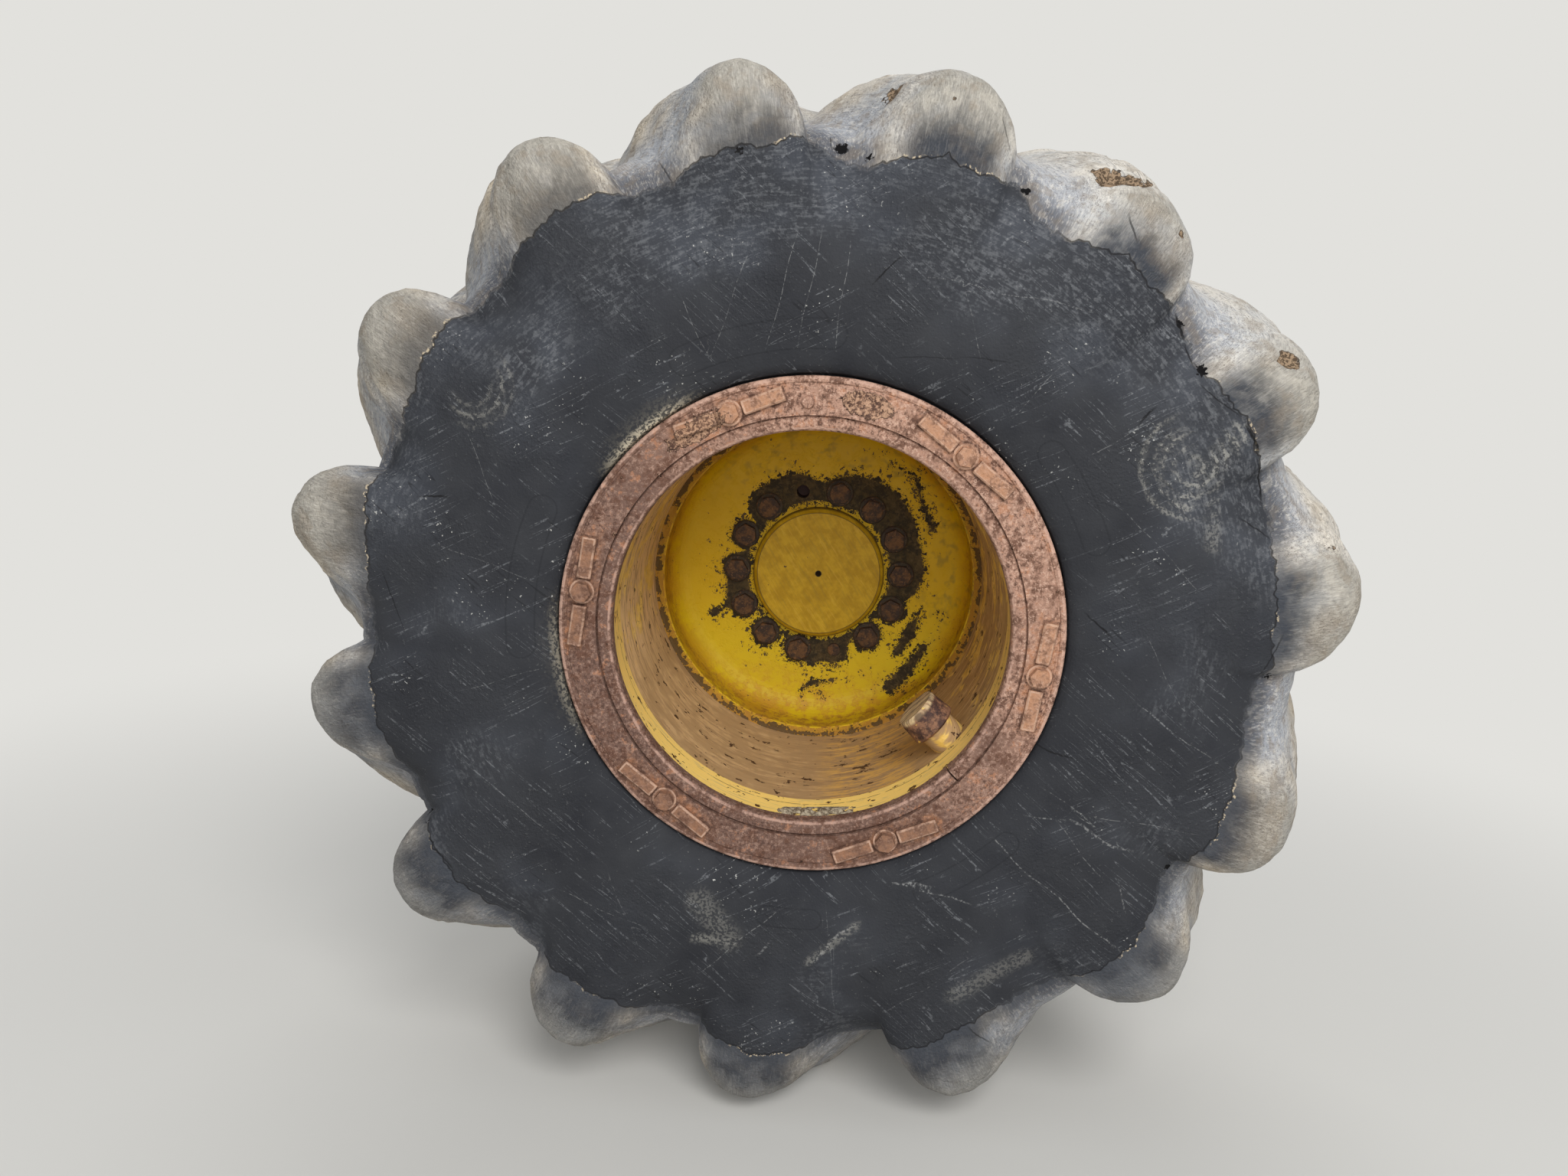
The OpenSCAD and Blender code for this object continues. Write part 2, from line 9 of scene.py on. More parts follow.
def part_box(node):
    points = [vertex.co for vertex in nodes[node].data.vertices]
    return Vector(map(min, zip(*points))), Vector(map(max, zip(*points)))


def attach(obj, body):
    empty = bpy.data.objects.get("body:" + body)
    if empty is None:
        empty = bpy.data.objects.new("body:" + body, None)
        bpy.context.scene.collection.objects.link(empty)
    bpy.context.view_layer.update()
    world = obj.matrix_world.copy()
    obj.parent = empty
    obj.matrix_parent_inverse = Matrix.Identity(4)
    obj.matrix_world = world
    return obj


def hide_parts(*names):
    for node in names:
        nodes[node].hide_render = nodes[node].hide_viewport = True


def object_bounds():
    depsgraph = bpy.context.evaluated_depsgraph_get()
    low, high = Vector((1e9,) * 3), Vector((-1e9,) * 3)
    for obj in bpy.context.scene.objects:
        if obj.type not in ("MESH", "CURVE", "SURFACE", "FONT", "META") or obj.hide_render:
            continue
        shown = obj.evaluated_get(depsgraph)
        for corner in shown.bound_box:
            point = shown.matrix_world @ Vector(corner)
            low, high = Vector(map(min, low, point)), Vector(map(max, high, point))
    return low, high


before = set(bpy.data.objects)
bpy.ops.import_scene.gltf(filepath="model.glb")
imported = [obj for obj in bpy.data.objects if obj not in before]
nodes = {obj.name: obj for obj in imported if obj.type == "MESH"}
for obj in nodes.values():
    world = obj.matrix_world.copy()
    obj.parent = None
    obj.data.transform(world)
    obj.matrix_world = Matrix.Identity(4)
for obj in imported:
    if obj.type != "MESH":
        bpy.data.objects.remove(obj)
cad_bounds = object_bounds()

# The axle runs along Y. Insets are millimetres from the side ring's outer face.
FACE_TO_MOUNT = 1150.0
CENTRE_INSET = 366.0
CENTRE_Y = (CENTRE_INSET - FACE_TO_MOUNT) / 1000.0


def on_wheel(clock, radius, inset):
    """Point in metres from a clock angle in degrees, a radius and an inset in millimetres."""
    a = math.radians(clock)
    return Vector((radius * math.sin(a), inset - FACE_TO_MOUNT, radius * math.cos(a))) / 1000.0


def clock_gap(clock, at):
    """Degrees from the clock angle at to clock, between -180 and 180."""
    return (clock - at + 180) % 360 - 180


def new_object(name, verts, faces, smooth=True):
    mesh = bpy.data.meshes.new(name)
    mesh.from_pydata(verts, [], faces)
    mesh.polygons.foreach_set("use_smooth", [smooth] * len(faces))
    obj = bpy.data.objects.new(name, mesh)
    bpy.context.collection.objects.link(obj)
    return obj


# ---------- camera and lamps

# The camera as solved from the circles that the photo shows
FOCAL_LENGTH, PHOTO_WIDTH = 1539.0, 2048.0  # pixels
SENSOR_WIDTH = 36.0
CAMERA_PLACE = (0.0363, -3.1081, 0.4783)
CAMERA_RIGHT = Vector((0.9968, 0.0552, 0.0585))
CAMERA_DOWN = Vector((0.0684, -0.1977, -0.9779))
CAMERA_FORWARD = Vector((-0.0424, 0.9787, -0.2008))
WHEEL_MIDDLE, AXLE_MIDDLE = (0, -0.8, 0), (0, -0.3, 0)

camera_data = bpy.data.cameras.new("camera")
camera_data.sensor_width = SENSOR_WIDTH
camera_data.lens = FOCAL_LENGTH / PHOTO_WIDTH * SENSOR_WIDTH
camera = bpy.data.objects.new("camera", camera_data)
bpy.context.collection.objects.link(camera)
camera_axes = Matrix((CAMERA_RIGHT, -CAMERA_DOWN, -CAMERA_FORWARD)).transposed()
camera.matrix_world = Matrix.Translation(CAMERA_PLACE) @ camera_axes.to_4x4()
bpy.context.scene.camera = camera
bpy.context.scene.view_settings.view_transform = "Standard"
bpy.context.scene.cycles.use_light_tree = False


def lamp(name, place, target, size, watts):
    data = bpy.data.lights.new(name, "AREA")
    data.shape = "DISK"
    data.size = size
    data.energy = watts
    obj = bpy.data.objects.new(name, data)
    obj.location = place
    obj.rotation_euler = (Vector(target) - Vector(place)).to_track_quat("-Z", "Y").to_euler()
    bpy.context.collection.objects.link(obj)


# Where each stands and points, its size in metres and its watts
lamp("key", (1.3, -5.2, 3.8), WHEEL_MIDDLE, 3.0, 200)
lamp("front", (0.2, -6.4, 1.5), WHEEL_MIDDLE, 3.0, 115)
lamp("back_fill", (-0.5, 3.6, 3.2), AXLE_MIDDLE, 4.0, 110)


# ---------- shader helpers

def rgb(red, green, blue):
    """Colour as a picture shows it, 0 to 255, made linear."""
    def linear(v):
        v /= 255.0
        return v / 12.92 if v <= 0.04045 else ((v + 0.055) / 1.055) ** 2.4
    return (linear(red), linear(green), linear(blue))


class Nodes:
    """A node tree with short names for what is made in it."""

    def __init__(self, tree):
        self.tree = tree
        tree.nodes.clear()

    def put(self, socket, value):
        """Links a value that is a socket, and otherwise sets it, with an alpha of one if due."""
        if isinstance(value, bpy.types.NodeSocket):
            self.tree.links.new(value, socket)
        elif value is not None:
            if hasattr(socket.default_value, "__len__") and hasattr(value, "__len__"):
                value = tuple(value) + (1.0,) * (len(socket.default_value) - len(value))
            socket.default_value = value

    def node(self, kind, *values, **settings):
        """New node with the given settings, and with values in its first sockets."""
        node = self.tree.nodes.new(kind)
        for name, setting in settings.items():
            setattr(node, name, setting)
        for socket, value in zip(node.inputs, values):
            self.put(socket, value)
        return node

    def math(self, operation, a, b=None):
        return self.node("ShaderNodeMath", a, b, operation=operation).outputs[0]

    add = partialmethod(math, "ADD")
    sub = partialmethod(math, "SUBTRACT")
    mul = partialmethod(math, "MULTIPLY")
    most = partialmethod(math, "MAXIMUM")
    least = partialmethod(math, "MINIMUM")
    absolute = partialmethod(math, "ABSOLUTE")

    def flip(self, a):
        return self.sub(1.0, a)

    def sway(self, value, amount):
        """A noise's departure from one half, times an amount."""
        return self.mul(self.sub(value, 0.5), amount)

    def hypot(self, a, b):
        return self.math("SQRT", self.add(self.mul(a, a), self.mul(b, b)))

    def seen(self, other_ray):
        """One for rays of the camera and of one other kind."""
        path = self.node("ShaderNodeLightPath")
        return self.most(path.outputs["Is Camera Ray"], path.outputs[other_ray])

    def blend(self, share, first, second, output):
        """Sends two shaders, mixed, to the output."""
        mixed = self.node("ShaderNodeMixShader", share, first.outputs[0], second.outputs[0])
        self.put(output.inputs[0], mixed.outputs[0])


class Shader(Nodes):
    """A material whose surface is one Principled shader, laid out by the object's coordinates."""

    def __init__(self, name):
        self.material = bpy.data.materials.new(name)
        self.material.use_nodes = True
        super().__init__(self.material.node_tree)
        self.bsdf = self.node("ShaderNodeBsdfPrincipled")
        self.output = self.node("ShaderNodeOutputMaterial", self.bsdf.outputs[0])
        self.place = self.node("ShaderNodeTexCoord").outputs["Object"]
        self.x, self.y, self.z = self.node("ShaderNodeSeparateXYZ", self.place).outputs
        self.radius = self.hypot(self.x, self.z)
        self.clock = self.math("ARCTAN2", self.x, self.z)

    def ramp(self, value, low, high, to_low=0.0, to_high=1.0):
        """Smooth step from low to high."""
        return self.node("ShaderNodeMapRange", value, low, high, to_low, to_high,
                         interpolation_type="SMOOTHSTEP").outputs[0]

    def band(self, value, low, high, soft):
        """One between low and high, with soft edges."""
        return self.mul(self.ramp(value, low - soft, low + soft),
                        self.ramp(value, high + soft, high - soft))

    def thin(self, value, level, width):
        """One where a value is within a width of a level."""
        return self.ramp(self.absolute(self.sub(value, level)), width, width * 0.3)

    def vector(self, x, y, z):
        return self.node("ShaderNodeCombineXYZ", x, y, z).outputs[0]

    def vmath(self, operation, a, b=None):
        node = self.node("ShaderNodeVectorMath", a, b, operation=operation)
        return node.outputs["Value" if operation == "LENGTH" else "Vector"]

    def attribute(self, name, output="Fac"):
        return self.node("ShaderNodeAttribute", attribute_name=name).outputs[output]

    def noise(self, scale, detail, rough, place=None, seed=0):
        place = self.place if place is None else place
        if seed:
            place = self.vmath("ADD", place, (seed * 1.7, seed * 3.1, seed * 0.9))
        node = self.node("ShaderNodeTexNoise", place)
        self.put(node.inputs["Scale"], scale)
        self.put(node.inputs["Detail"], detail)
        self.put(node.inputs["Roughness"], rough)
        return node.outputs["Fac"]

    def polar(self, along, across, deep):
        """Place stretched along the clock direction: noise on it makes streaks round the axle."""
        return self.vector(
            self.mul(self.math("SINE", self.clock), along),
            self.mul(self.math("COSINE", self.clock), along),
            self.add(self.mul(self.radius, across), self.mul(self.y, deep)))

    def streaks(self, along, across, seed):
        return self.noise(1.0, 3, 0.75, place=self.polar(along, across, across), seed=seed)

    def near(self, clock, half, soft):
        """One within half degrees of a clock angle in degrees, with soft edges."""
        off = self.sub(self.clock, math.radians(clock))
        away = self.math("ARCCOSINE", self.least(self.math("COSINE", off), 0.99999))
        return self.ramp(away, math.radians(half + soft), math.radians(half))

    def beside(self, clock, radius, count=1):
        """Metres round and metres out from the nearest of count places spread on a circle."""
        off = self.sub(self.clock, math.radians(clock))
        if count > 1:
            pitch = 2 * math.pi / count
            cells = self.math("ROUND", self.math("DIVIDE", off, pitch))
            off = self.sub(off, self.mul(cells, pitch))
        return (self.mul(self.radius, self.math("SINE", off)),
                self.sub(self.mul(self.radius, self.math("COSINE", off)), radius))

    def spot(self, clock, radius, stretch=1.0):
        """Distance in metres to one place, counted less by stretch along the clock direction."""
        side, out = self.beside(clock, radius)
        return self.hypot(self.math("DIVIDE", side, stretch), out)

    def mix(self, factor, a, b):
        node = self.node("ShaderNodeMix", factor, data_type="RGBA")
        self.put(node.inputs[6], a)
        self.put(node.inputs[7], b)
        return node.outputs[2]

    def coat(self, base, *layers):
        """Colours laid over a base in turn: each an amount, then red, green, blue or a socket."""
        for amount, *colour in layers:
            base = self.mix(amount, base, rgb(*colour) if len(colour) == 3 else colour[0])
        return base

    def finish(self, colour, roughness, specular, height=None, depth=None):
        """The material, with its colour, its gloss, and bumps of a depth in metres."""
        self.put(self.bsdf.inputs["Base Color"], colour)
        self.put(self.bsdf.inputs["Roughness"], roughness)
        self.put(self.bsdf.inputs["Specular IOR Level"], specular)
        if height is not None:
            bump = self.node("ShaderNodeBump")
            self.put(bump.inputs["Distance"], depth)
            self.put(bump.inputs["Height"], height)
            self.put(self.bsdf.inputs["Normal"], bump.outputs[0])
        return self.material


# ---------- floor and background

PALE = rgb(226, 225, 221)
FLOOR_REACH = 40.0
FADE_START, FADE_END = 1.3, 3.6  # metres from the wheel where the floor turns plain
SKY, SKY_STRENGTH = (0.94, 0.97, 1.0), 0.44


def make_floor():
    low = cad_bounds[0][2]
    corners = [(x * FLOOR_REACH, y * FLOOR_REACH, low)
               for x, y in ((-1, -1), (1, -1), (1, 1), (-1, 1))]
    obj = new_object("floor", corners, [(0, 1, 2, 3)], smooth=False)
    s = Shader("floor_pale")
    obj.data.materials.append(s.finish(rgb(210, 208, 203), 1.0, 0.0))
    away = s.vmath("LENGTH", s.vmath("SUBTRACT", s.place, (0, CENTRE_Y, 0)))
    share = s.mul(s.ramp(away, FADE_START, FADE_END), s.seen("Is Glossy Ray"))
    s.blend(share, s.bsdf, s.node("ShaderNodeEmission", PALE), s.output)


def make_world():
    world = bpy.data.worlds.new("world")
    bpy.context.scene.world = world
    world.use_nodes = True
    world.cycles.sampling_method = "NONE"
    w = Nodes(world.node_tree)
    lit = w.node("ShaderNodeBackground", SKY, SKY_STRENGTH)
    plain = w.node("ShaderNodeBackground", PALE, 1.0)
    w.blend(w.seen("Is Transmission Ray"), lit, plain, w.node("ShaderNodeOutputWorld"))


make_floor()
make_world()


# ---------- tyre

LUGS = 15
HALF_PITCH = 12.0       # degrees
LUG_CLOCK = 14.0        # clock angle of the first outer lug's crest
SWEEP = 13.0            # degrees that a lug turns forward up to its nose
FADE_OUT = -4.0, 34.0   # millimetres past the centre plane in which a lug ends
# Columns of faces all round; rows up to the heel, up to the crest and to the centre plane
COLUMNS, OUTER_ROWS, INNER_ROWS = 640, (10, 67, 29), (8, 28, 18)
ROOM_OUT, ROOM_SIDE = 0.0004, 0.0002  # metres left free inside the plain tyre's box
tyre_low, tyre_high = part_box("tyre")
TYRE_CAP = min(tyre_high.x, tyre_high.z, -tyre_low.x, -tyre_low.z) - ROOM_OUT
SIDE_CAP = (tyre_high.y - tyre_low.y) / 2 - ROOM_SIDE

# Profile from the bead to the centre plane: place from the centre plane and radius in
# a valley, the same over a lug's crest, a lug's half width in half pitches, and its turn
PROFILE = np.array([
    (318, 412, 318, 412, 0, 0), (338.5, 412, 338.5, 412, 0, 0), (339.5, 430, 339.5, 430, 0, 0),
    (344, 438.2, 344, 438.2, 0, 0), (352, 437.6, 352, 437.6, 0, 0), (366, 446, 366, 446, 0, 0),
    (377, 480, 377, 480, 0.1, 0), (384, 530, 384, 530, 0.3, 0), (386, 580, 386.5, 580, 0.42, 0),
    (385, 630, 387.5, 636, 0.5, 0.01), (381, 674, 387.5, 692, 0.53, 0.03),
    (374, 711, 387.5, 746, 0.54, 0.04), (362, 743, 386, 800, 0.55, 0.04),
    (344, 771, 381, 850, 0.55, 0.03), (320, 795, 368, 892, 0.54, 0.02),
    (290, 815, 344, 922, 0.53, 0), (250, 832, 302, 937, 0.51, -0.11),
    (200, 846, 242, 942, 0.48, -0.28), (140, 858, 170, 943.5, 0.44, -0.52),
    (80, 868, 95, 944, 0.38, -0.76), (34, 873, 38, 943, 0.31, -0.9), (0, 875, 0, 942, 0.25, -1),
])

# Rows of the profile where the bead's heel ends and where the crest turns onto the tread
SIDE_ROW = 6
CREST_ROW = 16
LAST_ROW = len(PROFILE) - 1

# Each outer lug, from the one at the first clock angle on: how much its end is worn down
# or stands out, how far round it has moved in degrees, and the valley clockwise of it
LUG_WEAR = np.array([
    (8, -2, 32), (-24, -1.7, 34), (0, -3.7, 30), (0, -3.2, 40), (-8, 1.2, 8), (8, -1.8, 40),
    (6, 0.5, -22), (-8, 2, 6), (4, 1.5, 12), (-4, 2, -18), (-16, 2.5, -2), (-4, 1.8, -10),
    (-4, 0.3, -14), (4, 0, 12), (8, -1.1, 8),
])

# Ragged line where the smooth sidewall ends: clock angle and radius in millimetres
EDGE = np.array([
    (2, 762), (6, 774), (9, 786), (12, 798), (13, 790), (19, 790), (21, 804), (22, 790), (24, 764),
    (29, 762), (32, 776), (35, 791), (40, 784), (45, 792), (47, 780), (50, 764), (54, 772),
    (59, 787), (64, 785), (67, 786), (73, 782), (77, 772), (81, 773), (85, 765), (90, 773),
    (93, 755), (96, 749), (101, 760), (107, 766), (113, 775), (117, 769), (120, 752), (124, 773),
    (129, 789), (134, 795), (139, 782), (142, 772), (148, 764), (155, 767), (162, 788), (164, 790),
    (169, 765), (174, 761), (180, 788), (185, 790), (190, 772), (195, 751), (202, 776), (209, 779),
    (214, 781), (221, 753), (229, 777), (235, 778), (239, 773), (244, 764), (248, 769), (253, 774),
    (258, 769), (264, 764), (269, 766), (277, 764), (283, 781), (287, 784), (292, 777), (298, 774),
    (302, 783), (306, 789), (311, 781), (316, 780), (321, 794), (325, 797), (328, 800), (332, 790),
    (335, 777), (339, 769), (342, 781), (345, 791), (347, 797), (351, 790), (356, 804), (358, 793),
    (359, 778),
])

# Bites torn out of the lugs: clock, radius and inset of the middle, size and depth in mm
TORN = (
    (29.4, 903, 74, 30, 20), (31.4, 912, 64, 26, 15), (33, 928, 90, 22, 8), (27.6, 896, 86, 16, 8),
    (4.5, 899, 77, 26, 5), (6.3, 905, 90, 16, 4), (11.6, 889, -4, 12, 2), (14.2, 872, -8, 10, 2),
    (353.5, 886, 30, 12, 3), (55.7, 900, 13, 20, 9), (40.6, 915, 74, 24, 8),
    (38.4, 882, 16, 12, 5), (76.8, 892, 28, 18, 7), (112, 944, 300, 50, 16),
    (208, 944, 280, 46, 16), (262, 944, 250, 50, 14), (300, 944, 330, 44, 16),
    (155, 944, 420, 44, 14), (20, 944, 460, 50, 16), (90, 944, 440, 46, 14), (322, 915, 60, 16, 4),
)

# Small dark holes where the sidewall's edge meets the steep side of a lug: clock, radius, size
PITS = (
    (0, 794, 9), (21.9, 800, 6), (51.4, 768, 8), (91.4, 776, 6), (45.6, 786, 5), (66, 768, 4),
    (120, 755, 5), (239.5, 772, 5), (348.5, 788, 5), (3.4, 780, 5),
)

# Straight scratches seen along the axle: ends (x, z) in millimetres, half width, strength
SCRATCHES = (
    (334, -337, 583, -535, 2, 0.9), (394, -290, 466, -298, 2.2, 0.8),
    (466, -298, 587, -344, 4, 0.9), (179, -434, 320, -468, 2.4, 0.8),
    (447, -300, 542, -403, 1.4, 0.6), (561, -402, 587, -456, 2.4, 0.6),
    (175, -436, 240, -446, 4, 1), (36, -599, 117, -521, 4, 0.8), (-65, -594, -36, -563, 3.5, 0.7),
    (150, 600, 420, 560, 1.6, 0.6), (-60, 655, -100, 470, 1, 0.8), (-20, 660, -50, 480, 1, 0.7),
    (25, 650, 10, 470, 1, 0.8), (-130, 640, -190, 450, 1, 0.6), (-250, 560, -180, 430, 1, 0.6),
    (200, 610, 250, 470, 1, 0.5), (-560, -300, -380, -430, 1.1, 0.5),
    (-650, 120, -470, 60, 1.1, 0.5), (-600, -140, -450, -90, 1, 0.5),
    (-420, -500, -260, -560, 1.3, 0.6), (500, 250, 640, 120, 1.1, 0.6),
    (430, 330, 560, 420, 1.2, 0.5), (560, -80, 700, -170, 1.4, 0.6),
    (480, -280, 690, -300, 1.2, 0.6), (380, 480, 300, 380, 1, 0.5), (-500, 330, -430, 520, 1, 0.4),
    (-330, -460, -270, -600, 1.2, 0.5), (60, -480, 90, -700, 1, 0.5),
    (-160, -640, -20, -500, 1.4, 0.7), (560, 40, 640, -90, 1.1, 0.5),
    (-540, 190, -600, 330, 1, 0.5), (330, -560, 180, -690, 1.2, 0.5),
    (420, -240, 560, -330, 1.3, 0.6),
)

# Dark cracks and cuts, given in the same way
CRACKS = (
    (672, 404, 704, 343, 3, 0.9), (704, 343, 731, 269, 2.6, 0.9), (594, 461, 672, 404, 1.4, 0.7),
    (558, 569, 568, 521, 3, 0.9), (568, 521, 588, 486, 1.8, 0.8), (107, 469, 214, 477, 1.2, 0.5),
    (214, 477, 301, 474, 1.2, 0.5), (62, 583, 111, 628, 1.8, 0.8), (510, 388, 531, 415, 2.4, 0.8),
    (-673, 196, -621, 193, 2.2, 0.8), (457, 77, 505, 29, 2.2, 0.8), (399, -168, 472, -184, 2, 0.7),
    (463, 712, 473, 671, 2.4, 0.7), (-740, 60, -700, -40, 1.6, 0.6),
    (-655, -420, -610, -480, 1.8, 0.6), (-30, 840, -14, 790, 1.8, 0.6),
    (250, 850, 262, 800, 1.6, 0.6), (690, 250, 748, 210, 1.6, 0.7), (780, 60, 760, -20, 1.8, 0.6),
    (-300, 760, -262, 722, 1.8, 0.6), (330, -700, 380, -742, 2, 0.6),
)

# Arcs rubbed into the sidewall: clock, radius, half size in mm, the way they face, strength
SCUFFS = (
    (61.5, 688, 62, 262, 0.8), (61.5, 688, 88, 250, 0.45), (61, 690, 40, 240, 0.4),
    (303.5, 698, 50, 140, 0.45), (303.5, 698, 66, 120, 0.3), (303.5, 698, 36, 160, 0.25),
)

# Dusty bands, given in the same way as scratches
DUST_BANDS = (
    (668, 386, 590, 262, 26, 0.55), (566, 372, 640, 300, 16, 0.35),
    (-165, -500, -110, -566, 34, 0.22), (-171, -570, -105, -574, 12, 0.36),
    (36, -599, 117, -521, 10, 0.3), (-766, -262, -742, -300, 16, 0.7),
    (640, 300, 650, 200, 18, 0.25), (300, -640, 420, -560, 22, 0.2),
)

# Blank panels: clock, radius, half length and half width in millimetres
PANELS = (
    (346.5, 502, 148, 24), (278, 498, 145, 24), (58, 500, 105, 22), (180.5, 520, 58, 18),
    (143, 505, 105, 20),
)


def smooth_curve(column, t):
    """Catmull-Rom through one column of the profile, at row numbers t."""
    p = PROFILE[:, column]
    i = np.clip(np.floor(t).astype(int), 0, LAST_ROW - 1)
    f = t - i
    a, b, c, d = p[np.maximum(i - 1, 0)], p[i], p[i + 1], p[np.minimum(i + 2, LAST_ROW)]
    return 0.5 * (2 * b + (c - a) * f + (2 * a - 5 * b + 4 * c - d) * f ** 2
                  + (3 * b - a - 3 * c + d) * f ** 3)


def step(x, low, high):
    """Smooth step from low to high."""
    t = np.clip((x - low) / (high - low), 0, 1)
    return t * t * (3 - 2 * t)


def cross_section(u, half_width):
    """Height share of a lug at u half pitches from its crest, steep on the clockwise side."""
    off = u - 2 * np.round(u / 2)
    steep = (1 - np.clip(off / (half_width + 0.06), 0, 1) ** 2) ** 0.6
    gentle = np.cos(np.clip(-off / (half_width + 0.42), 0, 1) * np.pi / 2) ** 1.35
    return np.where(off > 0, steep, gentle) * step(half_width, 0.05, 0.3)


def around(clock, values):
    """Value per lug, spread smoothly over the clock angles."""
    k = (clock - LUG_CLOCK) / (2 * HALF_PITCH)
    i = np.floor(k).astype(int)
    f = step(k - i, 0.0, 1.0)
    return values[i % LUGS] * (1 - f) + values[(i + 1) % LUGS] * f


def tyre_surface(base, t, inner):
    """Clock, radius, place and lug height share for columns base (degrees) and rows t."""
    u = (base - LUG_CLOCK) / HALF_PITCH
    half_width = smooth_curve(4, t)
    valley_place, valley_radius = smooth_curve(0, t), smooth_curve(1, t)
    signed = valley_place if inner else -valley_place
    share = np.maximum(cross_section(u, half_width) * (1 - step(signed, *FADE_OUT)),
                       cross_section(u - 1, half_width) * (1 - step(-signed, *FADE_OUT)))
    place = valley_place + share * (smooth_curve(2, t) - valley_place)
    radius = valley_radius + share * (smooth_curve(3, t) - valley_radius)
    clock = base + SWEEP * smooth_curve(5, t)
    if inner:
        return clock, radius, place, share
    end, turn, valley = LUG_WEAR.T
    worn = step(radius, 700, 860) * step(place, 230, 330)
    radius = radius + worn * share * around(base, end)
    deep = step(radius, 690, 790) * (1 - share) * step(-signed, 40, 250)
    radius = radius + deep * around(base - HALF_PITCH, valley) * 0.8
    clock = clock + around(base, turn) * step(-signed, 30, 200)
    return clock, radius, -place, share


def fractal(points, scale, octaves, seed):
    out = np.empty(len(points))
    shift = Vector((seed * 17.3, seed * 5.1, seed * 9.7))
    for i, p in enumerate(points.tolist()):
        out[i] = noise.fractal(Vector(p) * scale + shift, 1.0, 2.1, octaves)
    return out


def edge_radius(clock):
    """Radius in millimetres of the ragged line where the smooth sidewall ends."""
    out = np.interp(clock % 360, EDGE[:, 0], EDGE[:, 1], period=360)
    for count, size, start in ((61, 2.6, 0.7), (140, 2.2, 2.9), (307, 1.6, 0.2)):
        out = out + size * np.sin(np.radians(clock) * count + start)
    return out


def polar_offset(clock, radius, at_clock, at_radius):
    """How far round and how far out points are from a place, in millimetres."""
    return radius * np.radians(clock_gap(clock, at_clock)), radius - at_radius


def nearest_mark(rows, x, z):
    """Signed distance in half widths to the nearest of some straight marks, and its strength."""
    line, strength, nearest = np.full(len(x), 50.0), np.zeros(len(x)), np.full(len(x), 1e3)
    for ax, az, bx, bz, width, tone in rows:
        length = math.hypot(bx - ax, bz - az)
        ux, uz = (bx - ax) / length, (bz - az) / length
        along = (x - ax) * ux + (z - az) * uz
        across = ((x - ax) * uz - (z - az) * ux) / width + 1.6 * np.sin(along / 23.0 + ax)
        start = step(along, -8, min(20, length * 0.3))
        end = start * (1 - step(along, length - min(30, length * 0.3), length + 8))
        closer = (np.abs(across) < nearest) & (end > 0)
        line = np.where(closer, across, line)
        fade = 1 - step(np.abs(across) * width, 8, 16)
        strength = np.where(closer, tone * end * fade, strength)
        nearest = np.where(closer, np.abs(across), nearest)
    return line, strength


def panel_distance(clock, radius):
    """Distance in millimetres outside the blank panels."""
    panel = np.full(len(clock), 100.0)
    for at, r, half_long, half_wide in PANELS:
        side, out = polar_offset(clock, radius, at, r)
        straight = half_long - half_wide
        run = np.maximum(np.abs(side * r / np.maximum(radius, 1)) - straight, 0)
        panel = np.minimum(panel, np.hypot(run, out) - half_wide)
    return panel


def sidewall_dust(clock, radius, x, z):
    """Strength of the rubbed arcs, the dusty bands and the dust beside the ring."""
    dust = np.zeros(len(clock))
    for at, r, size, facing, tone in SCUFFS:
        at, facing = math.radians(at), math.radians(facing)
        dx, dz = x - r * math.sin(at), z - r * math.cos(at)
        away = np.hypot(dx, dz)
        turned = (dx * math.sin(facing) + dz * math.cos(facing)) / np.maximum(away, 1)
        arc = step(away, size - 13, size - 2) * (1 - step(away, size + 1, size + 6))
        dust = np.maximum(dust, tone * arc * step(turned, -0.1, 0.6))
    for ax, az, bx, bz, half, tone in DUST_BANDS:
        length = math.hypot(bx - ax, bz - az)
        along = ((x - ax) * (bx - ax) + (z - az) * (bz - az)) / length ** 2
        along = np.clip(along, 0, 1)
        away = np.hypot(x - ax - along * (bx - ax), z - az - along * (bz - az))
        dust = np.maximum(dust, tone * (1 - step(away, half * 0.3, half)))
    beside_ring = (1 - step(radius, 438, 458)) * np.maximum(
        0.9 - 0.9 * step(np.abs(clock_gap(clock, 318)), 4, 16),
        0.3 * (1 - step(np.abs(clock_gap(clock, 258)), 6, 20)))
    return np.maximum(dust, beside_ring)


def row_numbers(bead, side, tread):
    """Row numbers in the profile: so many to the heel, to the crest and to the centre plane."""
    return np.concatenate([np.linspace(0, SIDE_ROW, bead)[:-1],
                           np.linspace(SIDE_ROW, CREST_ROW, side)[:-1],
                           np.linspace(CREST_ROW, LAST_ROW, tread)])


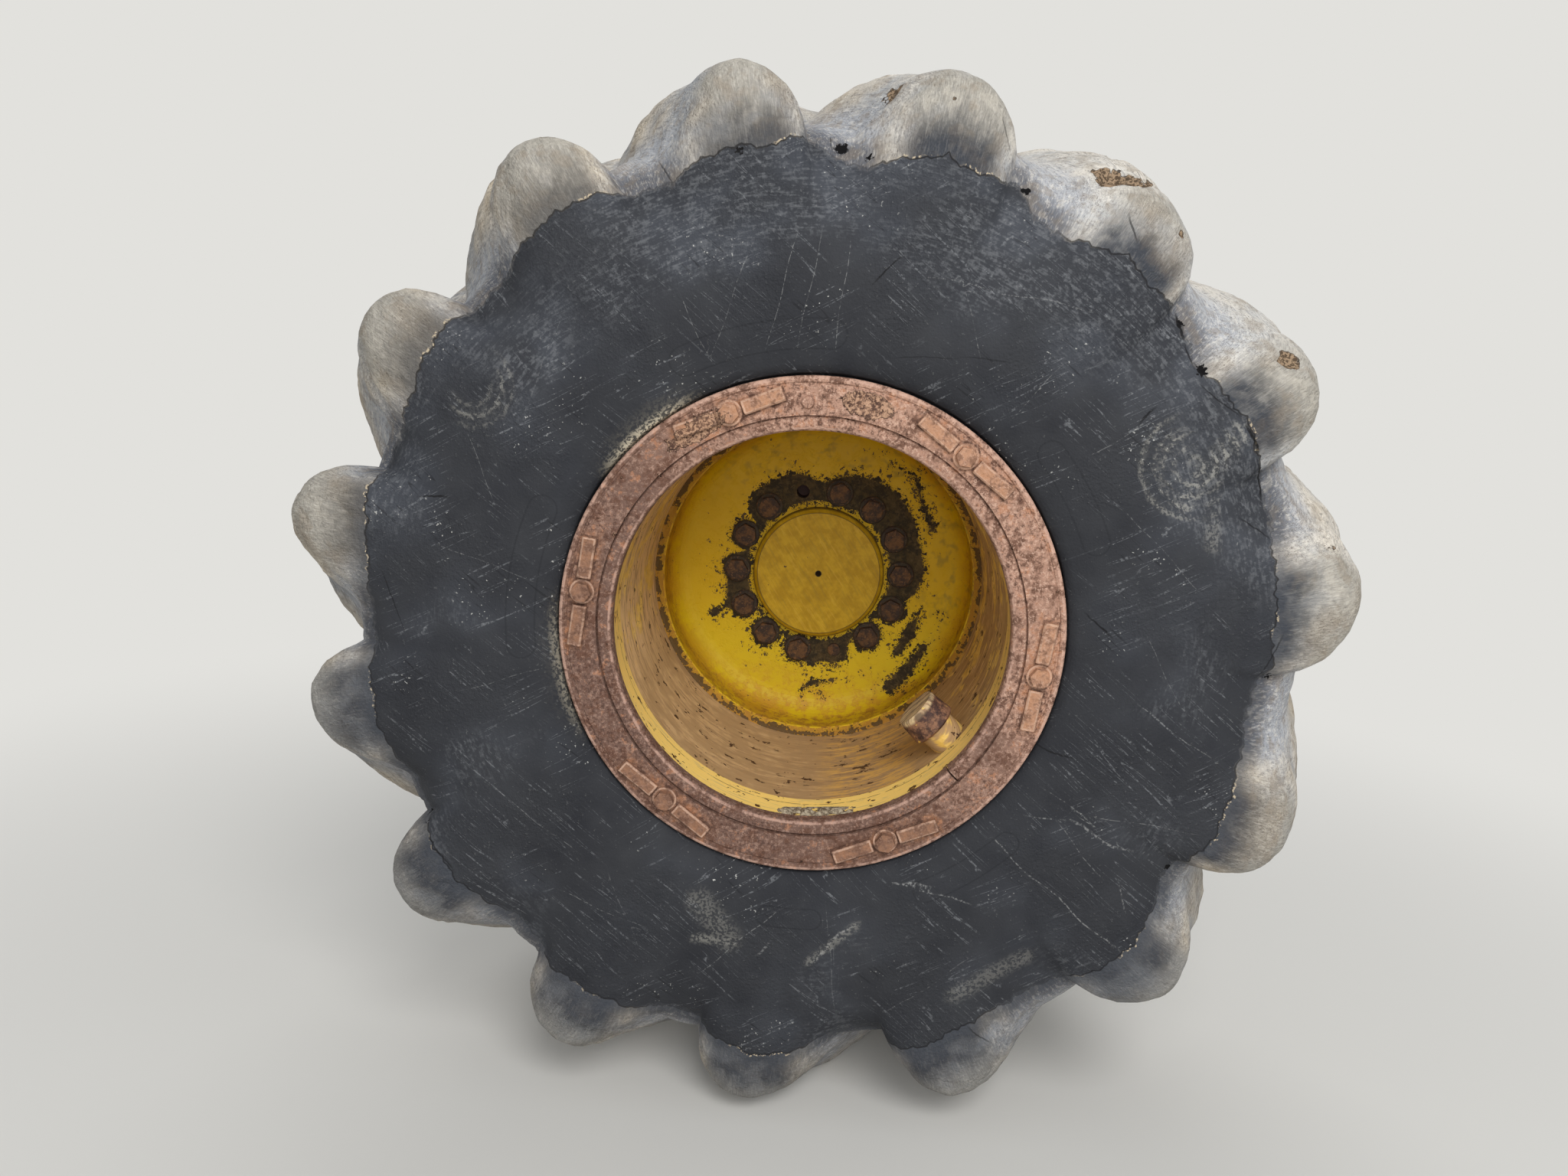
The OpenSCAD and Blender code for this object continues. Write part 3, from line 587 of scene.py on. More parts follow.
def wear(points, radius, place, share, big, mid):
    """Metres that wear moves each point outward, and the depth of torn bites in millimetres."""
    worn = np.maximum(step(radius, 740, 810), step(-np.abs(place), -330, -250))
    push = worn * (0.0052 * big + 0.0024 * mid) + 0.0004 * mid + 0.0012 * big
    crease = 1 - step(np.abs(fractal(points, 9.0, 2, 5)), 0.0, 0.06)
    push = push - worn * 0.006 * crease * step(big, -0.1, 0.25)
    # A hollow across each lug behind its end
    behind = step(np.abs(place), 215, 262) * (1 - step(np.abs(place), 262, 312))
    push = push - behind * step(share, 0.45, 0.9) * (0.007 + 0.008 * big)
    torn = np.zeros(len(points))
    for clock_at, radius_at, inset_at, size, depth in TORN:
        centre = np.array(on_wheel(clock_at, radius_at, inset_at))
        away = np.linalg.norm((points - centre) * (1, 0.8, 1), axis=1) * 1000 / size + 0.4 * mid
        torn = np.maximum(torn, (1 - step(away, 0.45, 1.0)) * depth)
    push = push - torn / 1000.0
    clock = np.degrees(np.arctan2(points[:, 0], points[:, 2]))
    for clock_at, radius_at, size in PITS:
        away = np.hypot(*polar_offset(clock, radius, clock_at, radius_at)) / size
        push = push - 0.006 * (1 - step(away, 0.4, 1.6)) * (place < -200)
    return push, torn


def tyre_marks(points, place, share, torn, big, mid):
    """What the rubber's material reads at each point."""
    x, z = points[:, 0] * 1000, points[:, 2] * 1000
    clock = np.degrees(np.arctan2(points[:, 0], points[:, 2])) % 360
    radius = np.hypot(points[:, 0], points[:, 2]) * 1000
    outer = points[:, 1] < CENTRE_Y
    edge = np.where(outer, edge_radius(clock), 770 + 14 * np.sin(np.radians(clock) * LUGS))
    scratch, scratch_strength = nearest_mark(SCRATCHES, x, z)
    crack, crack_strength = nearest_mark(CRACKS, x, z)
    pit = np.zeros(len(points))
    for clock_at, radius_at, size in PITS:
        away = np.hypot(*polar_offset(clock, radius, clock_at, radius_at))
        pit = np.maximum(pit, 1 - step(away, size * 0.5, size * 1.8))
    height = np.clip(points[:, 2] + 0.25 * points[:, 0], -1, 1)
    # Painted sheen on the upper sidewall, from light above, together with the chalky wear there
    sheen_and_wear = step(radius, 500, 700) * (0.35 + 0.65 * step(height, -0.1, 0.6))
    sheen_and_wear = sheen_and_wear + 0.8 * fractal(points, 6.0, 2, 7)
    on_side = (points[:, 1] - CENTRE_Y) * 1000 < -300
    return {
        "skin": np.clip(edge - radius, -200, 60) / 1000,
        "lug": share,
        "face": step(np.abs(place), 290, 350) * step(share, 0.45, 0.85),
        "valley": (1 - step(share, 0.12, 0.55)) * (1 - step(radius, 850, 900)),
        "torn": np.clip(torn / 7.0, 0, 1),
        "pit": pit * outer,
        "panel": np.where(outer, panel_distance(clock, radius), 100) / 1000,
        "scratch": scratch,
        "scratch_strength": scratch_strength * outer,
        "crack": crack,
        "crack_strength": crack_strength * outer * on_side,
        "dust": sidewall_dust(clock, radius, x, z) * outer,
        "high": np.clip(step(height, -0.75, 0.45) + 0.25 * big, 0, 1),
        "tan": np.clip(0.45 + 0.75 * big + 0.35 * mid, 0, 1),
        "tone": np.clip(0.5 + 0.35 * mid + 0.4 * big, 0, 1),
        "sheen_and_wear": np.clip(sheen_and_wear, 0, 1) * step(radius, 450, 480),
        "patch": np.clip(0.5 + 0.7 * fractal(points, 9.0, 2, 11), 0, 1),
    }


def make_tyre():
    outer_rows, inner_rows = row_numbers(*OUTER_ROWS), row_numbers(*INNER_ROWS)[-2::-1]
    base = np.arange(COLUMNS) * 360.0 / COLUMNS
    halves = [tyre_surface(*np.meshgrid(base, rows), inner)
              for rows, inner in ((outer_rows, False), (inner_rows, True))]
    clock, radius, place, share = [np.concatenate(both) for both in zip(*halves)]
    rows = len(clock)
    angle = np.radians(clock)
    points = np.stack([radius * np.sin(angle), place + CENTRE_INSET - FACE_TO_MOUNT,
                       radius * np.cos(angle)], -1) / 1000.0
    along = np.gradient(points, axis=0)
    normal = np.cross(np.roll(points, -1, 1) - np.roll(points, 1, 1), along)
    normal /= np.maximum(np.linalg.norm(normal, axis=-1, keepdims=True), 1e-9)
    points, normal = points.reshape(-1, 3), normal.reshape(-1, 3)
    radius, place, share = radius.reshape(-1), place.reshape(-1), share.reshape(-1)
    big, mid = fractal(points, 7.0, 2, 1), fractal(points, 26.0, 3, 2)
    push, torn = wear(points, radius, place, share, big, mid)
    points = points + normal * push[:, None]
    cut = np.minimum(1, TYRE_CAP / np.hypot(points[:, 0], points[:, 2]))
    points[:, 0] *= cut
    points[:, 2] *= cut
    points[:, 1] = np.clip(points[:, 1], CENTRE_Y - SIDE_CAP, CENTRE_Y + SIDE_CAP)
    index = np.arange(rows * COLUMNS).reshape(rows, COLUMNS)
    a, b = index[:-1], index[1:]
    quads = np.stack([a, np.roll(a, -1, 1), np.roll(b, -1, 1), b], -1).reshape(-1, 4)
    obj = new_object("tyre_worn", points.tolist(), quads.tolist())
    attributes = obj.data.attributes
    for name, values in tyre_marks(points, place, share, torn, big, mid).items():
        attributes.new(name, "FLOAT", "POINT").data.foreach_set("value", values)
    # Coordinates that run round the tyre and along its profile, for streaks on the lugs
    turn, rows_at = np.radians(base), np.concatenate([outer_rows, 2 * LAST_ROW - inner_rows])
    flow = np.stack(np.broadcast_arrays(
        np.sin(turn) * 150, np.cos(turn) * 150, rows_at[:, None] * 2.6), -1)
    attributes.new("flow", "FLOAT_VECTOR", "POINT").data.foreach_set("vector", flow.reshape(-1))
    return obj


def web(s, degrees, across, seed):
    """Noise drawn out in one direction on the sidewall; its level lines are fine scratches."""
    along, a = 7, math.radians(degrees)
    run = s.add(s.mul(s.x, math.cos(a) * along), s.mul(s.z, math.sin(a) * along))
    side = s.add(s.mul(s.x, -math.sin(a) * across), s.mul(s.z, math.cos(a) * across))
    return s.noise(1.0, 0, 0.5, place=s.vector(run, side, seed))


def sidewall(s):
    """Smooth sidewall: blue black, with a cloudy painted sheen and dust at the top, scratched and
    rubbed.
    """
    # wear carries the painted sheen as well as the wear
    wear = s.attribute("sheen_and_wear")
    rough = s.noise(1.0, 1, 0.7, place=s.polar(26, 210, 0))
    chalk = s.ramp(s.add(rough, s.mul(s.add(s.grain, s.fray), 0.8)), 1.2, 1.66)
    chalk = s.mul(chalk, s.ramp(wear, 0.35, 1.0))
    rising, falling = web(s, 28, 110, 1), web(s, 142, 120, 9)
    lines = s.most(s.mul(s.thin(rising, 0.62, 0.024), s.ramp(s.patch, 0.5, 0.72)),
                   s.mul(s.thin(falling, 0.61, 0.024), s.ramp(s.patch, 0.5, 0.28)))
    lines = s.mul(lines, s.ramp(s.grain, 0.42, 0.6, 0.04, 0.5))
    cuts = s.mul(s.thin(falling, 0.34, 0.03), s.ramp(s.patch, 0.66, 0.8))
    fleck = s.mul(s.ramp(s.grain, 0.7, 0.76), s.ramp(s.patch, 0.6, 0.9, 0.08, 0.8))
    scratch = s.absolute(s.add(s.attribute("scratch"), s.sway(s.fray, 1.5)))
    broken = s.mul(s.attribute("scratch_strength"), s.ramp(s.grain, 0.42, 0.62, 0.05, 0.8))
    scratch = s.mul(s.ramp(scratch, 0.85, 0.2), broken)
    dust = s.ramp(s.add(s.grain, s.sway(rough, 0.5)), 0.4, 0.58, 0.12, 1.0)
    dust = s.mul(s.attribute("dust"), dust)
    arc = s.least(s.spot(303.5, 0.698), s.spot(61.5, 0.688))
    grooves = s.math("SINE", s.add(s.mul(arc, 340), s.mul(s.fray, 6.0)))
    grooves = s.ramp(grooves, -0.2, 0.8, 0.2, 0.85)
    dust = s.mul(dust, s.most(grooves, s.ramp(arc, 0.09, 0.11)))
    by_ring = s.ramp(s.radius, 0.5, 0.46)
    outline = s.ramp(s.absolute(s.attribute("panel")), 0.0022, 0.0006)
    return s.coat(
        rgb(42, 43, 47),
        (s.tone, 54, 55, 58),
        # Painted sheen: a cloudy bluish lift on the upper sidewall
        (s.mul(wear, s.ramp(s.patch, 0.35, 0.8, 0.1, 0.38)), 84, 88, 96),
        (s.mul(chalk, 0.36), 122, 124, 127),
        (lines, 122, 124, 127),
        (s.mul(cuts, 0.5), 26, 26, 28),
        (fleck, 186, 185, 180),
        (scratch, 132, 132, 131),
        (dust, s.mix(by_ring, rgb(164, 161, 152), rgb(226, 214, 188))),
        (s.mul(outline, 0.35), 30, 31, 34))


def worn_lugs(s):
    """Lugs and tread: dusty crests, smooth end faces, blue grey valleys, bites and creases."""
    ending = s.attribute("face")
    crest = s.mix(s.attribute("tan"), rgb(158, 160, 163), rgb(206, 192, 170))
    # Painted light: the crests are lighter towards the upper right, where the light falls
    crest = s.mix(s.ramp(s.add(s.x, s.z), 0.8, 1.2, 0, 0.4), crest, rgb(232, 229, 222))
    # The low lugs are slate grey; all are darker between the ragged line and the crest
    slate = s.ramp(s.add(s.z, s.mul(s.x, 0.25)), 0.0, -0.45)
    dark_end = s.ramp(s.edge, s.ramp(slate, 0, 1, -0.11, -0.14),
                      s.ramp(slate, 0, 1, -0.02, -0.05))
    dusty = s.mul(s.ramp(s.x, 0.05, -0.35), s.flip(slate))
    face = s.mix(dark_end, s.mix(slate, rgb(158, 153, 143), rgb(166, 163, 156)),
                 s.mix(dusty, rgb(58, 61, 67), rgb(104, 100, 94)))
    warm = s.mul(s.ramp(s.patch, 0.52, 0.8, 0, 0.35), s.flip(s.mul(dark_end, 0.8)))
    face = s.mix(warm, face, s.mix(slate, rgb(156, 138, 114), rgb(110, 106, 100)))
    valley = s.mix(s.ramp(s.edge, -0.07, -0.015), rgb(172, 175, 181), rgb(80, 84, 95))
    kept = s.flip(s.mul(s.mul(dark_end, ending), 0.65))
    marks = s.mul(s.ramp(ending, 0.2, 0.9, 0.42, 0.18), kept)
    flow = s.attribute("flow", "Vector")
    streak = s.noise(1.0, 2, 0.7, place=flow)
    hair = s.noise(1.0, 1, 0.7, place=s.vmath("MULTIPLY", flow, (3.2, 3.2, 1.0)), seed=7)
    stain = s.noise(24, 2, 0.7, seed=31)
    brown = s.mul(s.ramp(stain, 0.5, 0.66, 0, 0.4), kept)
    white = s.mul(s.ramp(stain, 0.45, 0.32, 0, 0.25), kept)
    cracks = s.mul(s.thin(streak, 0.5, 0.016), s.ramp(s.patch, 0.5, 0.7))
    # Painted shade: darker within 50 mm of the ragged line, more so on the lower lugs
    edge_shade = s.mul(s.ramp(s.edge, -0.05, -0.004), s.ramp(s.z, 0.45, -0.05, 0.3, 0.75))
    frayed = s.mix(s.ramp(s.grain, 0.4, 0.6), rgb(84, 70, 56), rgb(152, 130, 106))
    hole = s.add(s.torn, s.sway(s.fray, s.ramp(s.torn, 0, 0.15, 0.7, 1.6)))
    hole = s.ramp(hole, 0.3, 0.55)
    return s.coat(
        crest,
        (s.mul(ending, s.ramp(s.tone, 0.2, 0.5, 0.75, 1.0)), face),
        (s.mul(s.attribute("valley"), 0.85), valley),
        (s.mul(s.ramp(streak, 0.52, 0.66), marks), 220, 214, 204),
        (s.mul(s.ramp(streak, 0.46, 0.32), marks), 96, 97, 102),
        (s.mul(s.ramp(s.grain, 0.55, 0.68), marks), 112, 106, 100),
        (s.mul(s.ramp(hair, 0.54, 0.66, 0, 0.2), kept), 206, 200, 190),
        (s.ramp(hair, 0.46, 0.34, 0, 0.25), 78, 76, 76),
        (brown, s.mix(slate, rgb(134, 120, 102), rgb(112, 106, 98))),
        (white, s.mix(slate, rgb(206, 198, 184), rgb(150, 152, 152))),
        (s.mul(cracks, 0.6), 84, 76, 70),
        (s.ramp(s.attribute("high"), 0.7, 0.0, 0, 0.34), 70, 71, 75),
        (edge_shade, 66, 69, 75),
        (hole, frayed),
        (s.mul(s.ramp(hole, 0.1, 0.5), s.ramp(hole, 0.9, 0.5)), 52, 44, 38))


def rubber():
    s = Shader("worn_rubber")
    s.tone, s.lug, s.patch, s.torn = map(s.attribute, ("tone", "lug", "patch", "torn"))
    s.fray, s.grain = s.noise(70, 1, 0.7), s.noise(190, 1, 0.75)
    s.edge = s.add(s.attribute("skin"), s.sway(s.fray, s.ramp(s.lug, 0.1, 0.5, 0.018, 0.007)))
    soft = s.ramp(s.lug, 0.15, 0.6, 0.006, 0.0005)
    smooth = s.ramp(s.math("DIVIDE", s.edge, soft), -1.0, 1.0)
    # Painted shadow: a dark line under the step where the smooth skin ends at the ragged line,
    # with pale crumbs on it here and there
    crack = s.mul(s.band(s.edge, -0.003, 0.0002, 0.0009), s.ramp(s.lug, 0.05, 0.5, 0.3, 0.8))
    loose = s.mul(s.ramp(s.lug, 0.4, 0.8), s.ramp(s.patch, 0.5, 0.66))
    loose = s.mul(s.ramp(s.grain, 0.5, 0.6), loose)
    crumbs = s.mul(s.band(s.edge, -0.0062, -0.0026, 0.001), loose)
    split = s.absolute(s.add(s.attribute("crack"), s.sway(s.fray, 2.2)))
    split = s.mul(s.ramp(split, 1.0, 0.4), s.attribute("crack_strength"))
    # Painted shade: the small holes by the ragged line are near black inside
    pit = s.ramp(s.add(s.attribute("pit"), s.sway(s.grain, 1.5)), 0.42, 0.6)
    colour = s.coat(
        s.mix(smooth, worn_lugs(s), sidewall(s)),
        # painted shadow under the skin's step
        (crack, 30, 29, 30),
        (s.mul(crumbs, 0.85), 190, 174, 148),
        (split, 20, 19, 20),
        (pit, 18, 17, 18))
    height = s.mul(s.grain, s.ramp(s.add(s.lug, s.mul(s.torn, 3.0)), 0, 1, 0.35, 0.9))
    return s.finish(colour, s.ramp(smooth, 0, 1, 0.9, 0.66), 0.12, height, 0.003)


tyre = make_tyre()
tyre.data.materials.append(rubber())
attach(tyre, "wheel")
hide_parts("tyre")


# ---------- rim, hub and axle

# How many, clock angle of one and radius in metres
CLAMPS = 6, 36.8, 0.397
BOLTS = 14, 11.3, 0.1785
EMPTY_HOLE = -14.4, 0.1785  # clock angle and radius
# In metres: a clamp's bars from its middle and by half, its bolt, the paint lost round bolts
BAR_PLACE, BAR_HALF_LONG, BAR_HALF_WIDE, CLAMP_BOLT = 0.06, 0.036, 0.0125, 0.022
FLAKED_ROUND, FLAKED_FROM = 0.034, 0.152
weld_low, weld_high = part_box("disc_weld")
WELD_LINE = (weld_high.x - weld_low.x) / 2 - 0.004  # a dark line, 4 mm inside its edge


def clamp_outline(s):
    """Distance in metres outside the clamp bars and bolts, and their upper edges."""
    count, clock, radius = CLAMPS
    side, out = s.beside(clock, radius, count)
    side = s.absolute(side)
    long_way = s.sub(s.absolute(s.sub(side, BAR_PLACE)), BAR_HALF_LONG)
    wide_way = s.sub(s.absolute(out), BAR_HALF_WIDE)
    near = s.least(s.most(long_way, wide_way), s.sub(s.hypot(side, out), CLAMP_BOLT))
    return near, s.band(near, -0.0038, -0.0008, 0.0006)


def rusty_ring():
    s = Shader("rusty_ring")
    cloud = s.noise(10, 2, 0.6)
    mid = s.noise(48, 3, 0.72, seed=2)
    fine = s.noise(190, 2, 0.75, seed=4)
    # Painted light: the rust is lighter towards the top and right, where the light falls; the pale
    # spots and the bar tops follow it
    lit_direction = s.add(s.z, s.mul(s.x, 0.9))
    high = s.ramp(s.add(lit_direction, s.sway(cloud, 0.7)), -0.2, 0.42)
    pale = s.mul(s.ramp(fine, 0.47, 0.35), s.ramp(high, 0, 1, 0.25, 0.6))
    speck = s.mul(s.ramp(fine, 0.54, 0.62), s.ramp(cloud, 0.38, 0.6, 0.35, 1.0))
    bar, bar_chips_and_highlight = clamp_outline(s)
    orange = s.mul(s.ramp(bar, 0.02, 0.0), s.ramp(mid, 0.58, 0.42, 0.0, 1.0))
    inside = s.mul(s.ramp(bar, 0.001, -0.001), s.ramp(mid, 0.62, 0.42, 0.25, 0.6))
    # Painted shade: a dark band round the foot of the clamp bars and bolts
    bar_shade = s.mul(s.band(bar, 0.0003, 0.003, 0.0014), s.ramp(mid, 0.4, 0.58, 0.15, 0.7))
    ring_edge = s.most(s.band(s.radius, 0.4285, 0.4345, 0.001),
                       s.band(s.radius, 0.3465, 0.3505, 0.001))
    scale = s.most(s.ramp(s.spot(10.5, 0.398, 2.2), 0.03, 0.012),
                   s.ramp(s.spot(328, 0.392, 3.0), 0.03, 0.008))
    scale = s.ramp(s.add(scale, s.sway(mid, 2.2)), 0.45, 0.6)
    scaly = s.mix(s.ramp(fine, 0.4, 0.58), rgb(176, 140, 112), rgb(70, 50, 42))
    colour = s.coat(
        rgb(112, 87, 76),
        (high, 166, 130, 111),
        (s.ramp(mid, 0.46, 0.64, 0, 0.85), 98, 68, 54),
        (s.ramp(mid, 0.44, 0.32, 0, 0.7), 170, 120, 90),
        (pale, 204, 170, 150),
        (s.mul(speck, 0.6), 66, 46, 40),
        (s.mul(orange, 0.25), 184, 124, 80),
        (inside, s.mix(high, rgb(140, 104, 82), rgb(178, 134, 104))),
        (bar_shade, 74, 50, 40),
        # Pale edges on the bars: partly chipped rust, partly painted highlight
        (s.mul(bar_chips_and_highlight, s.ramp(mid, 0.6, 0.42, 0.1, 0.6)), 206, 172, 150),
        (s.mul(ring_edge, s.ramp(mid, 0.6, 0.44, 0.1, 0.6)), 198, 162, 144),
        (s.mul(scale, 0.75), scaly))
    height = s.add(mid, s.add(s.mul(fine, 0.45), s.mul(scale, 1.2)))
    return s.finish(colour, 0.85, 0.2, height, 0.004)


def gutter_paint():
    s = Shader("gutter_paint")
    mid = s.noise(40, 3, 0.7)
    lines = s.streaks(6, 150, 3)
    # Painted light: the band is brighter low down, where it faces up into the light
    low = s.ramp(s.z, 0.05, -0.3)
    film = s.ramp(s.add(mid, s.mul(low, -0.14)), 0.52, 0.68)
    groove = s.band(s.y, -1.0445, -1.0425, 0.0008)
    chip = s.ramp(s.add(mid, s.mul(lines, 0.2)), 0.72, 0.74)
    colour = s.coat(
        rgb(222, 184, 104),
        (low, 255, 218, 124),
        (s.ramp(lines, 0.52, 0.64, 0, 0.6), 206, 186, 128),
        (s.ramp(lines, 0.44, 0.34, 0, 0.6), 246, 212, 112),
        (s.mul(film, 0.65), 176, 130, 78),
        (s.mul(groove, s.ramp(mid, 0.36, 0.5)), 92, 66, 40),
        (chip, 84, 56, 38))
    height = s.add(s.mul(s.flip(chip), 0.5), s.mul(mid, 0.5))
    return s.finish(colour, 0.55, 0.4, height, 0.0014)


def barrel_paint(name, seed, film_share):
    """Yellow paint under brown dust that is rubbed into streaks round the axle."""
    s = Shader(name)
    mid = s.noise(34, 3, 0.7, seed=seed)
    lines = s.streaks(5, 110, seed + 2)
    broad = s.streaks(4, 16, seed + 5)
    low = s.near(186, 50, 24)
    dust = s.coat(
        rgb(178, 142, 96),
        (s.ramp(s.x, 0.1, -0.2), 214, 178, 130),
        (s.ramp(lines, 0.48, 0.62, 0, 0.75), 140, 110, 80),
        (s.ramp(lines, 0.46, 0.36, 0, 0.6), 226, 192, 146),
        (s.mul(low, s.ramp(broad, 0.4, 0.54, 0.35, 0.85)), 170, 138, 98))
    film = s.add(s.add(broad, s.mul(lines, 0.35)), s.mul(low, 0.22))
    film = s.ramp(film, film_share, film_share + 0.1)
    orange = s.ramp(s.add(lines, s.mul(mid, 0.5)), 0.78, 0.68)
    orange = s.mul(s.ramp(s.spot(158, 0.345, 1.8), 0.07, 0.03), orange)
    chip = s.ramp(s.add(mid, s.mul(lines, 0.25)), 0.76, 0.78)
    colour = s.coat(
        rgb(214, 174, 84),
        (s.ramp(mid, 0.4, 0.6), 230, 196, 112),
        (film, dust),
        (s.mul(orange, 0.7), 216, 168, 84),
        (chip, 82, 56, 38))
    height = s.add(s.mul(s.flip(chip), 0.5), s.add(s.mul(mid, 0.4), s.mul(lines, 0.3)))
    return s.finish(colour, 0.65, 0.35, height, 0.0014)


# By clock angle in degrees: how far out the paint has flaked round the bolts, then the
# radius and half width of a loose patch farther out, in millimetres
FLAKED = (
    (-180, 214, 253, 10), (-175, 210, 272, 4), (-171, 208, 272, -30), (-162, 205, 250, -40),
    (-157, 160, 250, -40), (-150, 160, 246, -40), (-128, 160, 246, -40), (-121, 200, 246, -20),
    (-115.5, 226, 246, 20), (-110, 214, 246, -20), (-98, 205, 246, -40), (-86, 214, 246, -40),
    (-76, 160, 246, -40), (-58, 160, 246, -40), (-50, 214, 246, -40), (-40, 226, 246, -40),
    (-14, 222, 246, -40), (-2, 196, 246, -40), (14, 224, 280, -30), (30, 240, 290, -6),
    (42, 243, 291, 6), (50, 241, 272, 6), (58, 238, 266, 7), (66, 230, 264, 9),
    (70, 230, 264, -30), (86, 234, 250, -40), (100, 220, 240, -20), (108, 190, 238, 2),
    (118, 160, 240, 14), (133, 160, 249, 12), (142, 160, 249, -30), (180, 214, 253, 10),
)

# A second row of loose patches: clock angle, radius and half width
CHIPPED = (
    (-180, 330, -60), (-110, 330, -60), (60, 300, -60), (100, 280, -40), (106, 277, 4),
    (110, 280, -20), (117, 300, -10), (122, 287, 8), (129, 290, 12), (136, 295, 14),
    (146, 303, 14), (151, 304, -20), (158, 250, -40), (166, 218, 6), (176, 216, -4),
    (180, 330, -60),
)

ABSENT = 60  # millimetres: a half width may be as low as minus this, where there is no patch


def clock_table(s, rows):
    """A table's values by clock angle, in metres."""
    node = s.node("ShaderNodeValToRGB", s.add(s.mul(s.clock, 0.5 / math.pi), 0.5))
    stops = node.color_ramp.elements
    for number, (angle, *values, half) in enumerate(rows):
        place = (angle + 180.0) / 360.0
        stop = stops[number] if number < 2 else stops.new(place)
        stop.position = place
        values = [v / 1000.0 for v in (half + ABSENT, *values)]
        stop.color = values + [1.0] * (4 - len(values))
    half, *found = s.node("ShaderNodeSeparateColor", node.outputs[0]).outputs
    return *found[:len(rows[0]) - 2], s.sub(half, ABSENT / 1000.0)


def disc_paint():
    s = Shader("disc_paint")
    cloud = s.noise(7, 2, 0.6)
    mid = s.noise(46, 4, 0.8, seed=151)
    fine = s.noise(150, 2, 0.7, seed=157)
    corner = s.ramp(s.add(cloud, s.mul(mid, 0.4)), 0.55, 0.8)
    corner = s.mul(s.ramp(s.radius, 0.285, 0.33), corner)
    low = s.mul(s.ramp(s.z, -0.16, -0.33), s.ramp(mid, 0.42, 0.62, 0.1, 0.8))
    smear = s.noise(1.0, 2, 0.7, place=s.polar(9, 40, 0), seed=150)
    where = s.mul(s.near(35, 60, 40), s.ramp(s.radius, 0.2, 0.26))
    smear = s.mul(s.ramp(smear, 0.5, 0.7), where)
    rust_edge = s.mul(s.ramp(s.radius, 0.318, 0.336), s.ramp(mid, 0.5, 0.56))
    # Paint flaked off round the bolts and in loose patches, with small chips round about
    ragged = s.add(s.sway(mid, 0.066), s.sway(fine, 0.04))
    reach, middle, half = clock_table(s, FLAKED)
    count, clock, radius = BOLTS
    round_bolts = s.sub(s.hypot(*s.beside(clock, radius, count)), FLAKED_ROUND)
    flake = s.least(s.sub(s.radius, reach), round_bolts)
    flake = s.most(flake, s.sub(FLAKED_FROM, s.radius))
    for middle, half in ((middle, half), clock_table(s, CHIPPED)):
        flake = s.least(flake, s.sub(s.absolute(s.sub(s.radius, middle)), half))
    halo = s.ramp(flake, 0.05, 0.004, 0.0, 0.075)
    speck = s.ramp(s.add(s.add(s.mul(mid, 0.6), s.mul(fine, 0.4)), halo), 0.632, 0.64)
    bare = s.most(s.ramp(s.add(flake, ragged), 0.0006, -0.0006), speck)
    metal = s.coat(
        rgb(46, 39, 26),
        (s.ramp(mid, 0.4, 0.6), 74, 60, 36),
        (s.ramp(fine, 0.52, 0.66, 0, 0.4), 100, 82, 54))
    colour = s.coat(
        rgb(188, 148, 2),
        (cloud, 208, 170, 14),
        # Painted light: brighter and yellower towards the bottom, where the light falls into the
        # dish
        (s.ramp(s.z, 0.0, -0.22, 0, 0.7), 206, 180, 26),
        (s.mul(corner, 0.6), 168, 112, 34),
        (low, 186, 136, 46),
        (s.mul(smear, 0.45), 104, 98, 40),
        (rust_edge, 104, 66, 34),
        (bare, metal))
    height = s.sub(s.mul(fine, 0.2), s.mul(s.ramp(mid, 0.48, 0.6), 0.5))
    return s.finish(colour, s.ramp(bare, 0, 1, 0.5, 0.8), 0.22, height, 0.0011)


def boss_paint():
    s = Shader("boss_paint")
    mid = s.noise(36, 3, 0.7, seed=171)
    across = s.vector(s.mul(s.add(s.x, s.mul(s.z, 0.7)), 150), 0.0,
                      s.mul(s.sub(s.z, s.mul(s.x, 0.7)), 14))
    scuff = s.noise(1.0, 3, 0.72, place=across, seed=173)
    ring = s.most(s.band(s.radius, 0.1315, 0.1335, 0.0006), s.ramp(s.radius, 0.1385, 0.1405))
    in_hole = s.mul(s.ramp(s.spot(*EMPTY_HOLE), 0.022, 0.018), s.ramp(s.radius, 0.15, 0.153))
    colour = s.coat(
        rgb(166, 130, 14),
        (s.ramp(mid, 0.35, 0.65), 186, 150, 26),
        (s.ramp(scuff, 0.5, 0.66, 0, 0.35), 132, 108, 34),
        (s.ramp(scuff, 0.44, 0.34, 0, 0.3), 206, 172, 60),
        (s.mul(ring, 0.7), 66, 50, 24),
        (s.ramp(s.radius, 0.008, 0.0062), 36, 26, 16),
        (s.ramp(mid, 0.715, 0.73), 84, 62, 32),
        (s.mul(s.ramp(s.y, -0.555, -0.551), 0.85), 62, 46, 34),
        (in_hole, 54, 26, 18))
    return s.finish(colour, 0.55, 0.22, s.add(s.mul(mid, 0.4), s.mul(scuff, 0.3)), 0.001)


